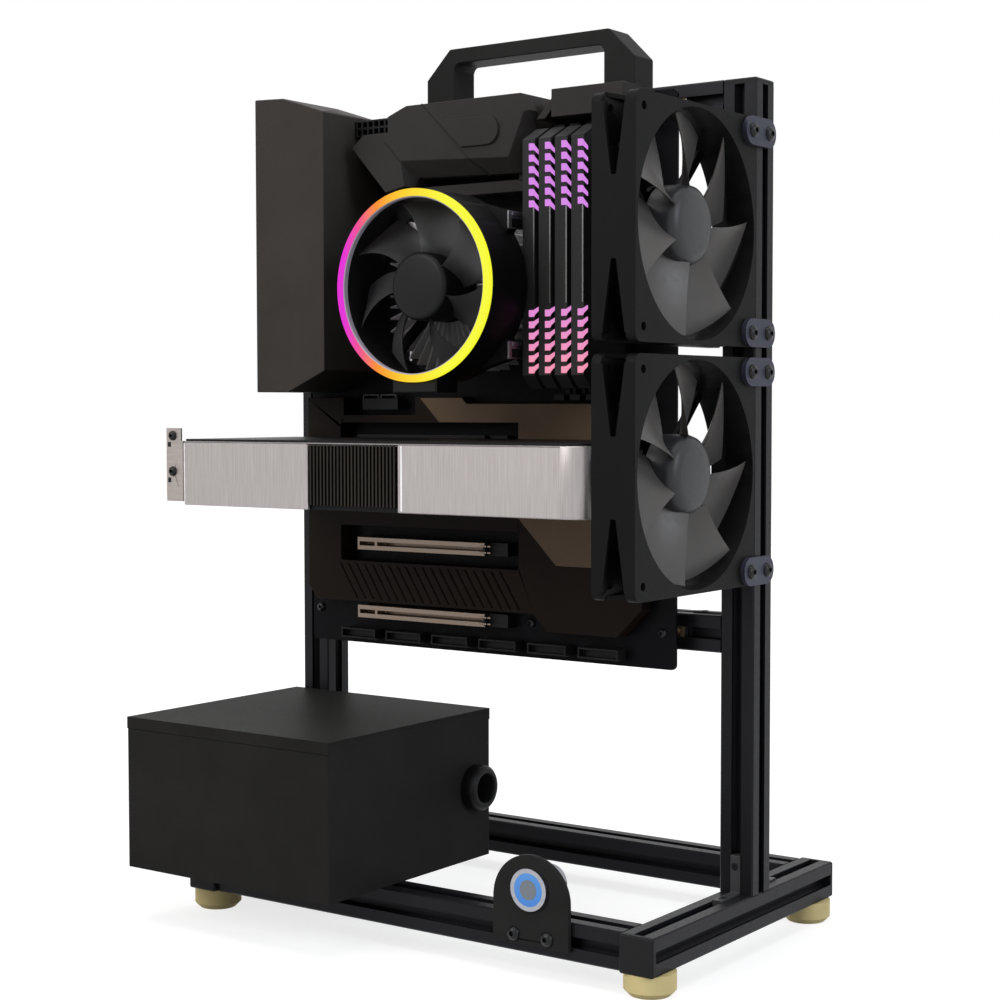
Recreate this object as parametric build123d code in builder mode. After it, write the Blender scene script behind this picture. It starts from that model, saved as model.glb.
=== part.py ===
from build123d import *
import os
from math import cos, radians, sin

# Open air computer test bench. Places are measured from the lower front left corner of the
# base frame: x to the right, y to the rear and z up, in millimetres.

# Slotted aluminium profile
profile = 20.0
profile_bevel = 0.8
slot_mouth = 6.0
slot_lip = 1.8
slot_width = 11.0
slot_straight = 1.4
slot_depth = 6.1
core_bore = 4.2

# Frame
base_depth = 200.0
cap_thickness = 3.0
cap_bevel = 0.8
cap_pin_length = 5.0
post_setback = 102.4
post_length = 431.0
mid_bar_height = 149.2

# General clearances: a slip fit, a running fit of a shaft, and a thread
slip_gap = 0.2
running_gap = 0.05
thread_gap = 0.05

# Fasteners and pins are many-sided rods
fastener_sides = 12

# Feet
foot_diameter = 27.0
foot_height = 12.0
foot_inset = 14.0
foot_bevel = 3.0

# Slot brackets at the joints
bracket_leg = 21.0
bracket_proud = 1.0

# Carrying handle
handle_length = 143.0
handle_height = 35.2
handle_offset = 12.0
handle_leg = 20.0
handle_grip = 8.5
handle_bevel = 16.5
handle_inner_round = 4.0

# Button-head frame screws, slot nuts and small screws
screw_shank = 4.0
screw_length = 8.0
screw_head = 7.6
screw_head_height = 2.2
screw_taper = 25.0
nut_length = 11.0
nut_side_gap = 0.4
small_shank = 3.0
small_length = 6.0
small_head = 5.6
small_head_height = 2.0

# Start button and its plate
button_x = 243.4
button_height = 34.3
button_plate_width = 46.8
button_plate_bottom = 4.7
button_plate_top = 51.9
button_plate_thickness = 3.0
button_screw_spacing = 20.8
button_bezel = 22.0
button_bezel_height = 2.0
button_barrel = 19.0
button_barrel_length = 20.0
button_nut_width = 23.0
button_nut_height = 3.5
button_ring = 17.2
button_ring_depth = 3.0
button_cap = 10.4
button_travel = 1.5
button_room = 6.0

# Side fans
fan_size = 120.0
fan_depth = 25.0
fan_round = 5.0
fan_rim = 2.0
fan_duct_wall = 1.5
fan_hole_inset = 7.5
fan_hole = 4.4
fan_pocket_start = 20.0
fan_pocket_tip = 3.0
fan_pocket_depth = 26.0
fan_leg = 5.5
fan_blade_depth = 16.0
fan_blade_inset = 1.0
fan_lower_centre = 247.0
fan_spacing = 5.4
fan_tip_gap = 2.0
fan_hub = 41.0
fan_hub_inset = 1.5
fan_blades = 7
fan_sweep = 0.06
fan_struts = 4

# Fan motors: base disc, bearing post and shaft
motor_disc_thickness = 3.0
strut_width = 5.0
strut_root = 0.6
strut_start = 45.0
bearing_diameter = 9.0
shaft_diameter = 3.0
hub_wall = 1.8
hub_cap = 2.0
hub_base_gap = 2.5
bearing_gap = 1.0
blade_thickness = 1.4
blade_root_share = 0.42
blade_spread = 0.06
blade_camber = 0.05
blade_bow = 0.07

# Clamp plates that hold the fans to the post
clamp_width = 15.0
clamp_thickness = 2.5

# Power supply
psu_left = -6.0
psu_length = 150.0
psu_width = 144.2
psu_height = 86.0
psu_post_gap = 0.4
psu_wall = 1.5
psu_skirt = 7.0
psu_round = 1.2
psu_seam = 0.3
psu_fan_bore = 112.0
psu_fan_drop = 20.5
psu_guard_slots = 9
psu_guard_bar = 3.0
psu_vent_cell = 7.0
psu_vent_pitch = 8.6
psu_vent_rows = 4
psu_vent_columns = 4
psu_vent_inset = 40.0
grommet_bore = 17.0
grommet_flange = 26.0
grommet_reach = 9.0
grommet_wall = 2.0
grommet_inset = 15.5
grommet_height = 42.0
inlet_height = 50.0
inlet_width = 30.0
inlet_flange = 2.0
inlet_border = 2.0
inlet_body = 20.0
inlet_from_front = 38.0
inlet_socket_width = 24.0
inlet_socket_height = 16.5
inlet_socket_depth = 15.0
inlet_pin_length = 12.0
inlet_pin_width = 2.0
inlet_pin_height = 4.0
inlet_pin_spacing = 7.0
inlet_pin_step = 4.0
rocker_width = 12.6
rocker_length = 17.0
rocker_opening = 20.0
rocker_recess = 10.0
rocker_pivot = 4.0
rocker_pin = 3.0
rocker_pin_length = 2.0
rocker_rise = 2.0
rocker_dip = 0.8
rocker_side_gap = 0.3
rocker_tilt = 7.0

# Board
board_left = 19.4
board_width = 257.0
board_bottom = 139.5
board_height = 310.5
board_thickness = 1.6
board_front = 90.0
board_round = 3.0
board_hole = 3.4
board_hole_left = 6.35
board_hole_middle = 162.6
board_hole_right = 8.4
board_fan_gap = 15.3
standoff_width = 6.0
standoff_stud = 4.5
standoff_bore_depth = 7.0

# Cover over the rear ports, and the ports
io_front = 40.0
io_right = 72.0
io_top = 461.0
io_top_fall = 1.0
io_shoulder = 450.0
io_shoulder_start = 41.0
io_bottom = 290.0
io_cut_start = 44.7
io_cut_rise = 12.0
io_wall = 2.5
port_left = 17.6
port_right = 50.0
port_front = 47.0
port_bottom = 302.0
port_top = 432.0
port_recess = 8.0
port_rows = 6
port_pitch = 21.0
port_width = 14.5
port_height = 6.5
port_columns = 2
audio_columns = 3
audio_rows = 2

# Power stage heatsink along the top of the board
sink_front = 58.0
sink_top = 451.0
sink_bottom = 409.0
sink_left = 104.6
sink_memory_gap = 5.8
sink_bevel = 8.0
sink_shoulder = 13.4
sink_shoulder_drop = 5.0
sink_corner = 6.0
sink_corner_drop = 10.0
sink_toe = 9.0
sink_toe_rise = 21.0
sink_heel = 21.0
sink_ankle = 13.3
sink_ankle_rise = 2.6
sink_arm_left = 78.0
sink_arm_top = 437.0
sink_arm_bottom = 402.4
sink_arm_cut = 8.7
sink_arm_cut_drop = 6.5
sink_arm_end = 1.6
sink_bar_gap = 12.0
sink_bar_end = 14.4
sink_bar_bottom = 436.0
sink_strut = 4.0
sink_strut_run = 14.0
sink_strut_drop = 3.0
sink_rail_start = 10.0
sink_rail_bottom = 399.6
sink_rail_height = 6.6
sink_rail_rise = 20.0
sink_groove_lean = 45.0
sink_floor = 10.0
sink_groove = 1.2
sink_groove_depth = 1.6
sink_disc = 16.0
sink_disc_end = 28.2
sink_tongue = 36.0
sink_disc_z = 432.7
sink_disc_height = 1.5
sink_relief = 8.0

# Processor, its socket and its cooler
cooler_memory_gap = 48.0
cooler_z = 346.0
socket_width = 58.0
socket_thickness = 4.0
lid_width = 38.0
lid_thickness = 4.0
sink_base_width = 50.0
sink_base_thickness = 6.0
fin_block_width = 84.0
fin_block_height = 90.0
fin_front = 42.0
fin_floor = 4.0
fin_pitch = 3.0
fin_thickness = 1.0
ring_front = 8.0
ring_diameter = 103.0
ring_width = 4.0
ring_thickness = 3.0
shroud_wall = 3.2
shroud_tab_width = 30.0
shroud_tab_drop = 5.5
shroud_tab_length = 18.0
cooler_hub = 37.0
cooler_hub_front = 13.5
cooler_tip_gap = 1.5
cooler_blades = 7
cooler_sweep = 0.34
shroud_ear_width = 45.0
shroud_ear_top = 39.0
shroud_ear_low = 30.0
shroud_ear_depth = 8.0
shroud_ear_near = 70.0
shroud_ear_far = 32.0
cooler_blade_depth = 18.0
clip_spacing = 68.0
clip_width = 9.0
clip_sheet = 1.5
clip_foot = 9.0
clip_front = 62.0

# Memory
memory_edge = 67.6
memory_pitch = 10.33
memory_count = 4
memory_thickness = 8.0
memory_front = 43.0
memory_bottom = 291.0
memory_top = 430.0
memory_nose = 7.0
memory_slope = 13.0
memory_panel = 20.0
memory_panel_depth = 0.6
memory_blade = 1.3
memory_blade_depth = 3.5
memory_slot_height = 6.0
memory_slot_width = 6.6
memory_slot_bottom = 288.0
memory_slot_top = 431.0
latch_thickness = 3.0
latch_rise = 12.0
light_rows = 6
light_pitch = 6.0
light_height = 4.4
light_width = 3.8
light_thickness = 1.5
light_margin = 2.0
light_slant = 1.2

# Expansion slots and armour on the lower board
slot_left = 63.6
slot_length = 94.0
slot_height = 7.6
slot_rise = 11.0
slot_slit = 2.2
slot_slit_depth = 8.0
slot_end = 1.6
slot_key = 14.0
slot_key_width = 1.8
slot_latch = 13.0
slot_latch_rise = 7.0
slot_low = 159.8
slot_middle_z = 200.4
slot_card = 261.4
armour_front = 80.0
armour_left = 24.0
armour_edge = 15.4
armour_top = 283.5
armour_crest = 287.0
armour_crest_end = 141.0
armour_bottom = 165.3
armour_drop = 156.0
armour_drop_gap = 8.0
armour_cut = 8.0
armour_corner = 16.0
pocket_left = 50.0
pocket_end = 9.4
pocket_height = 21.0
pocket_round = 2.0
recess_left = 52.7
recess_right = 106.6
recess_bottom = 276.6
stripe_count = 20
stripe_pitch = 6.2
stripe_left = 46.0
stripe_lean = 13.0
stripe_width = 1.0
stripe_depth = 0.8
stripe_margin = 2.0
cover_thickness = 0.8
cover_margin = 0.6
cover_left = 111.0
cover_bottom = 193.4
cover_slope_edge = 55.0

# Sockets and headers on the board
power_x = 86.0
power_z = 442.6
power_length = 27.0
power_height = 9.2
power_rise = 22.0
power_cell = 2.8
power_cell_pitch = 4.2
power_columns = 6
power_rows = 2
edge_socket_depth = 12.0
edge_socket_margin = 1.0
edge_power_z = 346.0
edge_power_length = 52.0
edge_data_z = 205.0
edge_data_length = 42.0
header_left = 62.0
header_pitch = 34.0
header_count = 6
header_length = 26.0
header_width = 6.0
header_inset = 6.5
header_rise = 9.0
header_wall = 2.0
recess_socket_length = 26.6
recess_socket_height = 6.5

# Graphics card
card_left = 18.6
card_side_gap = 2.7
card_front = -20.0
card_rear = 76.0
card_bottom = 226.0
card_round = 14.0
card_wall = 2.5
card_board_thickness = 1.6
card_board_end = 27.0
card_plate_thickness = 1.2
card_plate_margin = 1.0
card_fins_left = 111.6
card_fins_right = 173.0
card_fin_pitch = 2.4
card_fin_thickness = 1.0
card_fin_floor = 3.0
card_inner_fin_pitch = 9.0
card_inner_fin_thickness = 1.2
card_shroud_thickness = 2.5
card_fan_bore = 82.0
card_fan_wall = 1.5
card_fan_left = 66.0
card_fan_end = 59.0
card_fan_y = 27.0
card_fan_tip_gap = 1.2
card_fan_hub = 30.0
card_fan_drop = 12.5
card_fan_blades = 9
card_sweep = 0.3
card_struts = 3
card_hub_inset = 0.8
card_blade_depth = 9.0
card_sink_margin = 8.45
card_window_fin = 12.0
card_bracket_sheet = 1.0
card_bracket_top = 269.5
card_bracket_bottom = 228.0
card_tab = 11.6
card_screw_top = 4.3
card_screw_spacing = 20.2
card_screw_from_edge = 5.2
card_tab_window = 1.8
card_tab_window_side = 2.8
card_tab_window_drop = 5.0
card_port_count = 3
card_port_width = 17.0
card_port_height = 6.0
card_port_pitch = 22.0
card_port_z = 250.0

# Heights and depths that follow from the sizes above
board_right = board_left + board_width
base_width = board_right + board_fan_gap + fan_depth
fan_bore = fan_size - 2 * fan_rim
fan_hole_pitch = fan_size - 2 * fan_hole_inset
fan_upper_centre = fan_lower_centre + fan_size + fan_spacing
memory_left = board_right - memory_edge
cooler_x = memory_left - cooler_memory_gap
sink_right = memory_left - sink_memory_gap
sink_bar_left = sink_right + sink_bar_gap
sink_bar_right = board_right - sink_bar_end
sink_disc_x = sink_right - sink_disc_end
armour_right = board_right - armour_edge
armour_drop_start = board_left + board_hole_middle + armour_drop_gap
cover_slope_end = armour_right - cover_slope_edge
slot_right = slot_left + slot_length
pocket_right = slot_right + slot_latch + pocket_end
slot_z = (slot_low, slot_middle_z, slot_card)
card_right = base_width - fan_depth - card_side_gap
card_board_right = card_right - card_board_end
card_fan_right = card_right - card_fan_end
card_sink_length = card_board_right - card_left - card_wall - 2 * card_sink_margin
card_screw_high = card_bracket_top - card_screw_top
card_screw_z = (card_screw_high, card_screw_high - card_screw_spacing)
left_reach = -psu_left + inlet_flange + (rocker_pivot + rocker_rise) * cos(radians(rocker_tilt))
left_reach += rocker_length / 2 * sin(radians(rocker_tilt)) - rocker_pivot
right_reach = clamp_thickness + screw_head_height
psu_front = post_setback - psu_post_gap - psu_width
left_x = (left_reach - base_width - right_reach) / 2
front_y = (-psu_front - base_depth) / 2
post_top = profile + post_length
frame_top = post_top + cap_thickness
top_bar_height = frame_top - profile
inner_width = base_width - 2 * profile
post_rear = post_setback + profile
middle = profile / 2
board_rear = board_front + board_thickness
hole_rows = (mid_bar_height + middle, top_bar_height + middle)
hole_columns = (board_left + board_hole_left, board_left + board_hole_middle, board_right - board_hole_right)
psu_right = psu_left + psu_length
psu_rear = psu_front + psu_width
psu_top = profile + psu_height
card_board_bottom = slot_card - card_board_thickness / 2
card_board_top = slot_card + card_board_thickness / 2

LEFT, RIGHT = (-1, 0, 0), (1, 0, 0)
FRONT, REAR = (0, -1, 0), (0, 1, 0)
DOWN, UP = (0, 0, -1), (0, 0, 1)


def point(x, y, z):
    """A place given from the base's lower front left corner."""
    return Vector(left_x + x, front_y + y, foot_height + z)


def facing(y):
    """Upright plane that faces the front at depth y, drawn in x and z."""
    return Plane(origin=point(0, y, 0), x_dir=RIGHT, z_dir=FRONT)


def side(x):
    """Upright plane that faces the right at x, drawn in y and z."""
    return Plane(origin=point(x, 0, 0), x_dir=REAR, z_dir=RIGHT)


def level(z):
    """Level plane that faces up at height z, drawn in x and y."""
    return Plane(origin=point(0, 0, z), x_dir=RIGHT, z_dir=UP)


def save(builder, name):
    """Label a finished piece and write its file."""
    builder.part.label = name
    export_step(builder.part, f"parts/{name}.step")


os.makedirs("parts", exist_ok=True)

# Slotted bars of the frame
slot_floor = slot_width - 2 * (slot_depth - slot_lip - slot_straight)
slot_half = [
    (profile_bevel, slot_mouth / 2),
    (-slot_lip, slot_mouth / 2),
    (-slot_lip, slot_width / 2),
    (-slot_lip - slot_straight, slot_width / 2),
    (-slot_depth, slot_floor / 2),
]
slot_outline = slot_half + [(x, -y) for x, y in reversed(slot_half)]


def slotted_bar(name, start, across, along, length):
    with BuildPart() as bar:
        with BuildSketch(Plane(origin=start, x_dir=across, z_dir=along)) as section:
            Rectangle(profile, profile)
            chamfer(section.vertices(), profile_bevel)
            with PolarLocations(profile / 2, 4):
                Polygon(*slot_outline, align=None, mode=Mode.SUBTRACT)
            Circle(core_bore / 2, mode=Mode.SUBTRACT)
        extrude(amount=length)
    save(bar, name)


rail_run = base_depth - 2 * cap_thickness
right_middle = base_width - middle
rear_rail_y = base_depth - cap_thickness - middle
post_y = post_setback + middle
slotted_bar("base_rail_left", point(middle, cap_thickness, middle), RIGHT, REAR, rail_run)
slotted_bar("base_rail_right", point(right_middle, cap_thickness, middle), RIGHT, REAR, rail_run)
slotted_bar("base_rail_front", point(profile, cap_thickness + middle, middle), UP, RIGHT, inner_width)
slotted_bar("base_rail_rear", point(profile, rear_rail_y, middle), UP, RIGHT, inner_width)
slotted_bar("post_left", point(middle, post_y, profile), RIGHT, UP, post_length)
slotted_bar("post_right", point(right_middle, post_y, profile), RIGHT, UP, post_length)
slotted_bar("crossbar_top", point(profile, post_y, top_bar_height + middle), UP, RIGHT, inner_width)
slotted_bar("crossbar_mid", point(profile, post_y, mid_bar_height + middle), UP, RIGHT, inner_width)

# Square caps on the rail ends and the post tops, each with a pin in the profile's core bore
with BuildPart() as cap:
    with BuildSketch() as outline:
        Rectangle(profile, profile)
        chamfer(outline.vertices(), profile_bevel)
    extrude(amount=cap_thickness)
    chamfer(cap.faces().sort_by(Axis.Z)[-1].edges(), cap_bevel)
    with BuildSketch():
        RegularPolygon(core_bore / 2 - slip_gap, fastener_sides)
    extrude(amount=-cap_pin_length)

cap_places = []
for rail_x in (middle, right_middle):
    cap_places.append(Plane(origin=point(rail_x, cap_thickness, middle), x_dir=RIGHT, z_dir=FRONT))
    rear_end = point(rail_x, base_depth - cap_thickness, middle)
    cap_places.append(Plane(origin=rear_end, x_dir=RIGHT, z_dir=REAR))
    cap_places.append(Plane(origin=point(rail_x, post_y, post_top), x_dir=RIGHT, z_dir=UP))
with BuildPart() as end_caps:
    with Locations(*cap_places):
        add(cap.part)
save(end_caps, "end_caps")

# Rubber feet under the ends of the side rails
with BuildPart() as foot:
    with BuildSketch(Plane.XZ) as half:
        with Locations((foot_diameter / 4, -foot_height / 2)):
            Rectangle(foot_diameter / 2, foot_height)
        chamfer(half.vertices().sort_by(Axis.X)[-2:].sort_by(Axis.Z)[0], foot_bevel)
    revolve(axis=Axis.Z)
with BuildPart() as rubber_feet:
    with Locations(*[
        point(x, y, 0) for x in (middle, right_middle) for y in (foot_inset, base_depth - foot_inset)
    ]):
        add(foot.part)
save(rubber_feet, "rubber_feet")

# Slot brackets: an L that lies in two slots and stands a little proud of them
bracket_sink = slot_depth - 2 * slip_gap
bracket_width = slot_mouth - 2 * slip_gap
with BuildPart() as bracket:
    with BuildSketch(Plane.XY.offset(-bracket_width / 2)):
        Polygon(
            (-bracket_sink, -bracket_sink),
            (bracket_leg, -bracket_sink),
            (bracket_leg, bracket_proud),
            (bracket_proud, bracket_proud),
            (bracket_proud, bracket_leg),
            (-bracket_sink, bracket_leg),
            align=None,
        )
    extrude(amount=bracket_width)


def corner(x, y, z, along, up):
    """Inner corner of two bars, one leg along each."""
    return Plane(origin=point(x, y, z), x_dir=along, z_dir=Vector(along).cross(Vector(up)))


inner_right = base_width - profile
rail_inner = cap_thickness + profile
bracket_places = [
    corner(right_middle, post_setback, profile, FRONT, UP),
    corner(right_middle, post_rear, profile, REAR, UP),
    corner(middle, post_rear, profile, REAR, UP),
]
for side_x, inward in ((profile, RIGHT), (inner_right, LEFT)):
    bracket_places.append(corner(side_x, rail_inner, middle, inward, REAR))
    bracket_places.append(corner(side_x, base_depth - rail_inner, middle, inward, FRONT))
    bracket_places.append(corner(side_x, post_y, top_bar_height, inward, DOWN))
    bracket_places.append(corner(side_x, post_y, mid_bar_height + profile, inward, UP))
with BuildPart() as corner_brackets:
    with Locations(*bracket_places):
        add(bracket.part)
save(corner_brackets, "corner_brackets")

# Carrying handle: a flat arch with bevelled shoulders on the top crossbar
handle_middle = base_width / 2 + handle_offset
with BuildPart() as handle:
    with BuildSketch(facing(post_setback)) as arch:
        with Locations((handle_middle, frame_top + handle_height / 2)):
            Rectangle(handle_length, handle_height)
        chamfer(arch.vertices().group_by(Axis.Y)[-1], handle_bevel)
    extrude(amount=-profile)
    with BuildSketch(facing(post_setback)) as grip_gap:
        with Locations((handle_middle, frame_top + (handle_height - handle_grip) / 2)):
            Rectangle(handle_length - 2 * handle_leg, handle_height - handle_grip)
        fillet(grip_gap.vertices().group_by(Axis.Y)[-1], handle_inner_round)
    extrude(amount=-profile, mode=Mode.SUBTRACT)
save(handle, "handle")


# Fan parts shared by every fan. The plane lies on the hub's outer face and looks out of it.
def bearing_base(hub_face, drop, disc_diameter, bore_radius, struts):
    """Motor disc, struts to the duct and bearing post, added to the piece being built."""
    with BuildSketch(hub_face.offset(-drop - motor_disc_thickness)) as spider:
        Circle(disc_diameter / 2)
        if struts:
            with PolarLocations((disc_diameter / 2 + bore_radius) / 2, struts, start_angle=strut_start):
                Rectangle(bore_radius - disc_diameter / 2 + strut_width, strut_width)
            Circle(bore_radius + strut_root, mode=Mode.INTERSECT)
    extrude(spider.sketch, amount=motor_disc_thickness)
    post_height = drop - 2 * hub_cap
    with BuildSketch(hub_face.offset(-drop)) as post:
        Circle(bearing_diameter / 2)
    extrude(post.sketch, amount=post_height)
    with BuildSketch(hub_face.offset(post_height - drop)) as bore:
        Circle(shaft_diameter / 2 + running_gap)
    extrude(bore.sketch, amount=-post_height - motor_disc_thickness / 2, mode=Mode.SUBTRACT)


def fan_rotor(drop, tip_diameter, hub_diameter, blades, blade_depth, sweep):
    """Hub cup with its shaft and swept blades, its outer face on the level plane."""
    tip = tip_diameter / 2
    root = hub_diameter / 2 - hub_wall
    pitch = 360 / blades
    lead_root, trail_root = -blade_root_share * pitch, blade_root_share * pitch
    lead_tip, trail_tip = lead_root + sweep * pitch, trail_root + (sweep + blade_spread) * pitch

    def polar(radius, angle):
        return (radius * cos(radians(angle)), radius * sin(radians(angle)))

    reach = tip * sin(radians(trail_tip))
    start = -root * sin(radians(trail_root)) - hub_wall
    high, low = -fan_blade_inset, blade_thickness - fan_blade_inset - blade_depth
    bend = ((start + reach) / 2, (high + low) / 2 - blade_camber * tip)
    sheet = [(start, low), bend, (reach, high)]
    belly = (root + tip) / 2
    with BuildPart() as blade:
        with BuildSketch(Plane.YZ):
            Polygon(*sheet, *[(y, z - blade_thickness) for y, z in reversed(sheet)], align=None)
        extrude(amount=tip)
        with BuildSketch():
            with BuildLine():
                lead = Polyline(
                    polar(root, lead_root),
                    polar(belly, (lead_root + lead_tip) / 2 - blade_bow * pitch),
                    polar(tip, lead_tip),
                )
                crest = ThreePointArc(lead @ 1, polar(tip, (lead_tip + trail_tip) / 2), polar(tip, trail_tip))
                trail = Polyline(
                    crest @ 1,
                    polar(belly, (trail_root + trail_tip) / 2 - blade_bow * pitch),
                    polar(root, trail_root),
                )
                Line(trail @ 1, lead @ 0)
            make_face()
        extrude(amount=-drop - motor_disc_thickness, mode=Mode.INTERSECT)
    with BuildPart() as rotor:
        with BuildSketch():
            Circle(hub_diameter / 2)
        extrude(amount=-(drop - hub_base_gap))
        with PolarLocations(0, blades):
            add(blade.part)
        with BuildSketch(Plane.XY.offset(-hub_cap)):
            RegularPolygon(bearing_diameter / 2 + 2 * bearing_gap, fastener_sides)
        extrude(amount=-drop, mode=Mode.SUBTRACT)
        with BuildSketch(Plane.XY.offset(-hub_cap)):
            Circle(shaft_diameter / 2)
        extrude(amount=-(drop - hub_cap + motor_disc_thickness / 2 - slip_gap))
    return rotor.part


def place(name, piece, plane):
    """Write a piece that was drawn on the level plane at its place."""
    with BuildPart() as placed:
        with Locations(plane):
            add(piece)
    save(placed, name)


# Side fans: square frames with pockets in their sides, and seven-bladed rotors
fan_y = post_setback - fan_size / 2
with BuildPart() as fan_frame:
    with BuildSketch() as outline:
        Rectangle(fan_size, fan_size)
        fillet(outline.vertices(), fan_round)
    extrude(amount=-fan_depth)
    pocket_wide = fan_depth / 2 - fan_leg
    for turn in range(4):
        across = Vector(fan_size / 2, 0, -fan_depth / 2).rotate(Axis.Z, 90 * turn)
        out = Vector(1, 0, 0).rotate(Axis.Z, 90 * turn)
        with BuildSketch(Plane(origin=across, x_dir=Vector(0, 1, 0).rotate(Axis.Z, 90 * turn), z_dir=out)):
            Polygon(
                (fan_pocket_start, -fan_pocket_tip / 2),
                (fan_size / 2, -pocket_wide),
                (fan_size / 2, pocket_wide),
                (fan_pocket_start, fan_pocket_tip / 2),
                align=None,
            )
            mirror(about=Plane.YZ)
        extrude(amount=-fan_pocket_depth, mode=Mode.SUBTRACT)
    with BuildSketch():
        Circle(fan_bore / 2 + fan_duct_wall)
    extrude(amount=-fan_depth)
    with BuildSketch():
        Circle(fan_bore / 2)
        with GridLocations(fan_hole_pitch, fan_hole_pitch, 2, 2):
            Circle(fan_hole / 2)
    extrude(amount=-fan_depth, mode=Mode.SUBTRACT)
    fan_drop = fan_depth - fan_hub_inset - motor_disc_thickness
    bearing_base(Plane.XY.offset(-fan_hub_inset), fan_drop, fan_hub, fan_bore / 2, fan_struts)

fan_tip = fan_bore - 2 * fan_tip_gap
fan_rotor_part = fan_rotor(fan_drop, fan_tip, fan_hub, fan_blades, fan_blade_depth, fan_sweep)
for tag, centre_z in (("upper", fan_upper_centre), ("lower", fan_lower_centre)):
    fan_face = Plane(origin=point(base_width, fan_y, centre_z), x_dir=REAR, z_dir=RIGHT)
    place(f"side_fan_frame_{tag}", fan_frame.part, fan_face)
    place(f"side_fan_rotor_{tag}", fan_rotor_part, fan_face.offset(-fan_hub_inset))

# Clamp plates across the fans' rear holes and the right post's slot
fan_hole_y = fan_y + fan_hole_pitch / 2
clamp_z = [
    centre_z + hole for centre_z in (fan_upper_centre, fan_lower_centre)
    for hole in (fan_hole_pitch / 2, -fan_hole_pitch / 2)
]
with BuildPart() as clamps:
    with BuildSketch(side(base_width)):
        with Locations(*[((fan_hole_y + post_y) / 2, z) for z in clamp_z]):
            SlotCenterToCenter(post_y - fan_hole_y, clamp_width)
        with Locations(*[(y, z) for z in clamp_z for y in (fan_hole_y, post_y)]):
            Circle(screw_shank / 2 + slip_gap, mode=Mode.SUBTRACT)
    extrude(amount=clamp_thickness)
save(clamps, "fan_clamp_plates")

# Button-head screws of the frame
with BuildPart() as screw:
    with BuildSketch():
        RegularPolygon(screw_head / 2, fastener_sides)
    extrude(amount=screw_head_height, taper=screw_taper)
    with BuildSketch():
        RegularPolygon(screw_shank / 2, fastener_sides)
    extrude(amount=-screw_length)
button_screws_x = [button_x - button_screw_spacing / 2, button_x + button_screw_spacing / 2]
button_face = cap_thickness - button_plate_thickness
clamp_face = base_width + clamp_thickness
screw_places = [
    Plane(origin=point(clamp_face, y, z), x_dir=REAR, z_dir=RIGHT)
    for z in clamp_z for y in (fan_hole_y, post_y)
]
screw_places += [
    Plane(origin=point(x, button_face, middle), x_dir=RIGHT, z_dir=FRONT) for x in button_screws_x
]
with BuildPart() as frame_screws:
    with Locations(*screw_places):
        add(screw.part)
save(frame_screws, "frame_screws")

# Slot nuts behind the clamp plates, the button plate and the standoffs
with BuildPart() as nut:
    nut_half = slot_width / 2 - nut_side_gap
    nut_floor = slot_floor / 2 - nut_side_gap / 2
    with BuildSketch(Plane.YZ):
        Polygon(
            (-nut_half, -slot_lip),
            (-nut_half, -slot_lip - slot_straight + nut_side_gap),
            (-nut_floor, -slot_depth + nut_side_gap),
            (nut_floor, -slot_depth + nut_side_gap),
            (nut_half, -slot_lip - slot_straight + nut_side_gap),
            (nut_half, -slot_lip),
            align=None,
        )
    extrude(amount=nut_length / 2, both=True)
    with BuildSketch(Plane.XY.offset(-slot_lip)):
        RegularPolygon(screw_shank / 2 + thread_gap, fastener_sides)
    extrude(amount=-slot_depth, mode=Mode.SUBTRACT)
nut_places = [Plane(origin=point(base_width, post_y, z), x_dir=UP, z_dir=RIGHT) for z in clamp_z]
nut_places += [
    Plane(origin=point(x, cap_thickness, middle), x_dir=RIGHT, z_dir=FRONT) for x in button_screws_x
]
hole_places = [(x, z) for x in hole_columns for z in hole_rows]
nut_places += [Plane(origin=point(x, post_setback, z), x_dir=RIGHT, z_dir=FRONT) for x, z in hole_places]
with BuildPart() as sliding_nuts:
    with Locations(*nut_places):
        add(nut.part)
save(sliding_nuts, "sliding_nuts")

# Start button: plate, housing with its nut, light ring and the cap that is pressed
button_half = button_plate_width / 2
with BuildPart() as button_plate:
    with BuildSketch(facing(cap_thickness)):
        straight = button_plate_top - button_half - button_plate_bottom
        with Locations((button_x, button_plate_bottom + straight / 2)):
            Rectangle(button_plate_width, straight)
        with Locations((button_x, button_plate_top - button_half)):
            Circle(button_half)
        with Locations((button_x, button_height)):
            Circle(button_barrel / 2 + slip_gap, mode=Mode.SUBTRACT)
        with Locations(*[(x, middle) for x in button_screws_x]):
            Circle(screw_shank / 2 + slip_gap, mode=Mode.SUBTRACT)
    extrude(amount=button_plate_thickness)
save(button_plate, "button_plate")

bezel_face = button_face - button_bezel_height
button_axis = (button_x, button_height)
ring_rear = bezel_face + button_ring_depth
with BuildPart() as housing:
    with BuildSketch(facing(button_face)):
        with Locations(button_axis):
            Circle(button_bezel / 2)
    extrude(amount=button_bezel_height)
    with BuildSketch(facing(button_face)):
        with Locations(button_axis):
            Circle(button_barrel / 2)
    extrude(amount=-button_barrel_length)
    with BuildSketch(facing(bezel_face)):
        with Locations(button_axis):
            Circle(button_ring / 2 + running_gap)
    extrude(amount=-button_ring_depth, mode=Mode.SUBTRACT)
    with BuildSketch(facing(ring_rear)):
        with Locations(button_axis):
            Circle(button_cap / 2 + button_travel)
    extrude(amount=-button_room, mode=Mode.SUBTRACT)
save(housing, "button_housing")

with BuildPart() as button_nut:
    with BuildSketch(facing(cap_thickness)):
        with Locations(button_axis):
            RegularPolygon(button_nut_width / 2, 6, major_radius=False, rotation=30)
            Circle(button_barrel / 2 + thread_gap, mode=Mode.SUBTRACT)
    extrude(amount=-button_nut_height)
save(button_nut, "button_nut")

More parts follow.
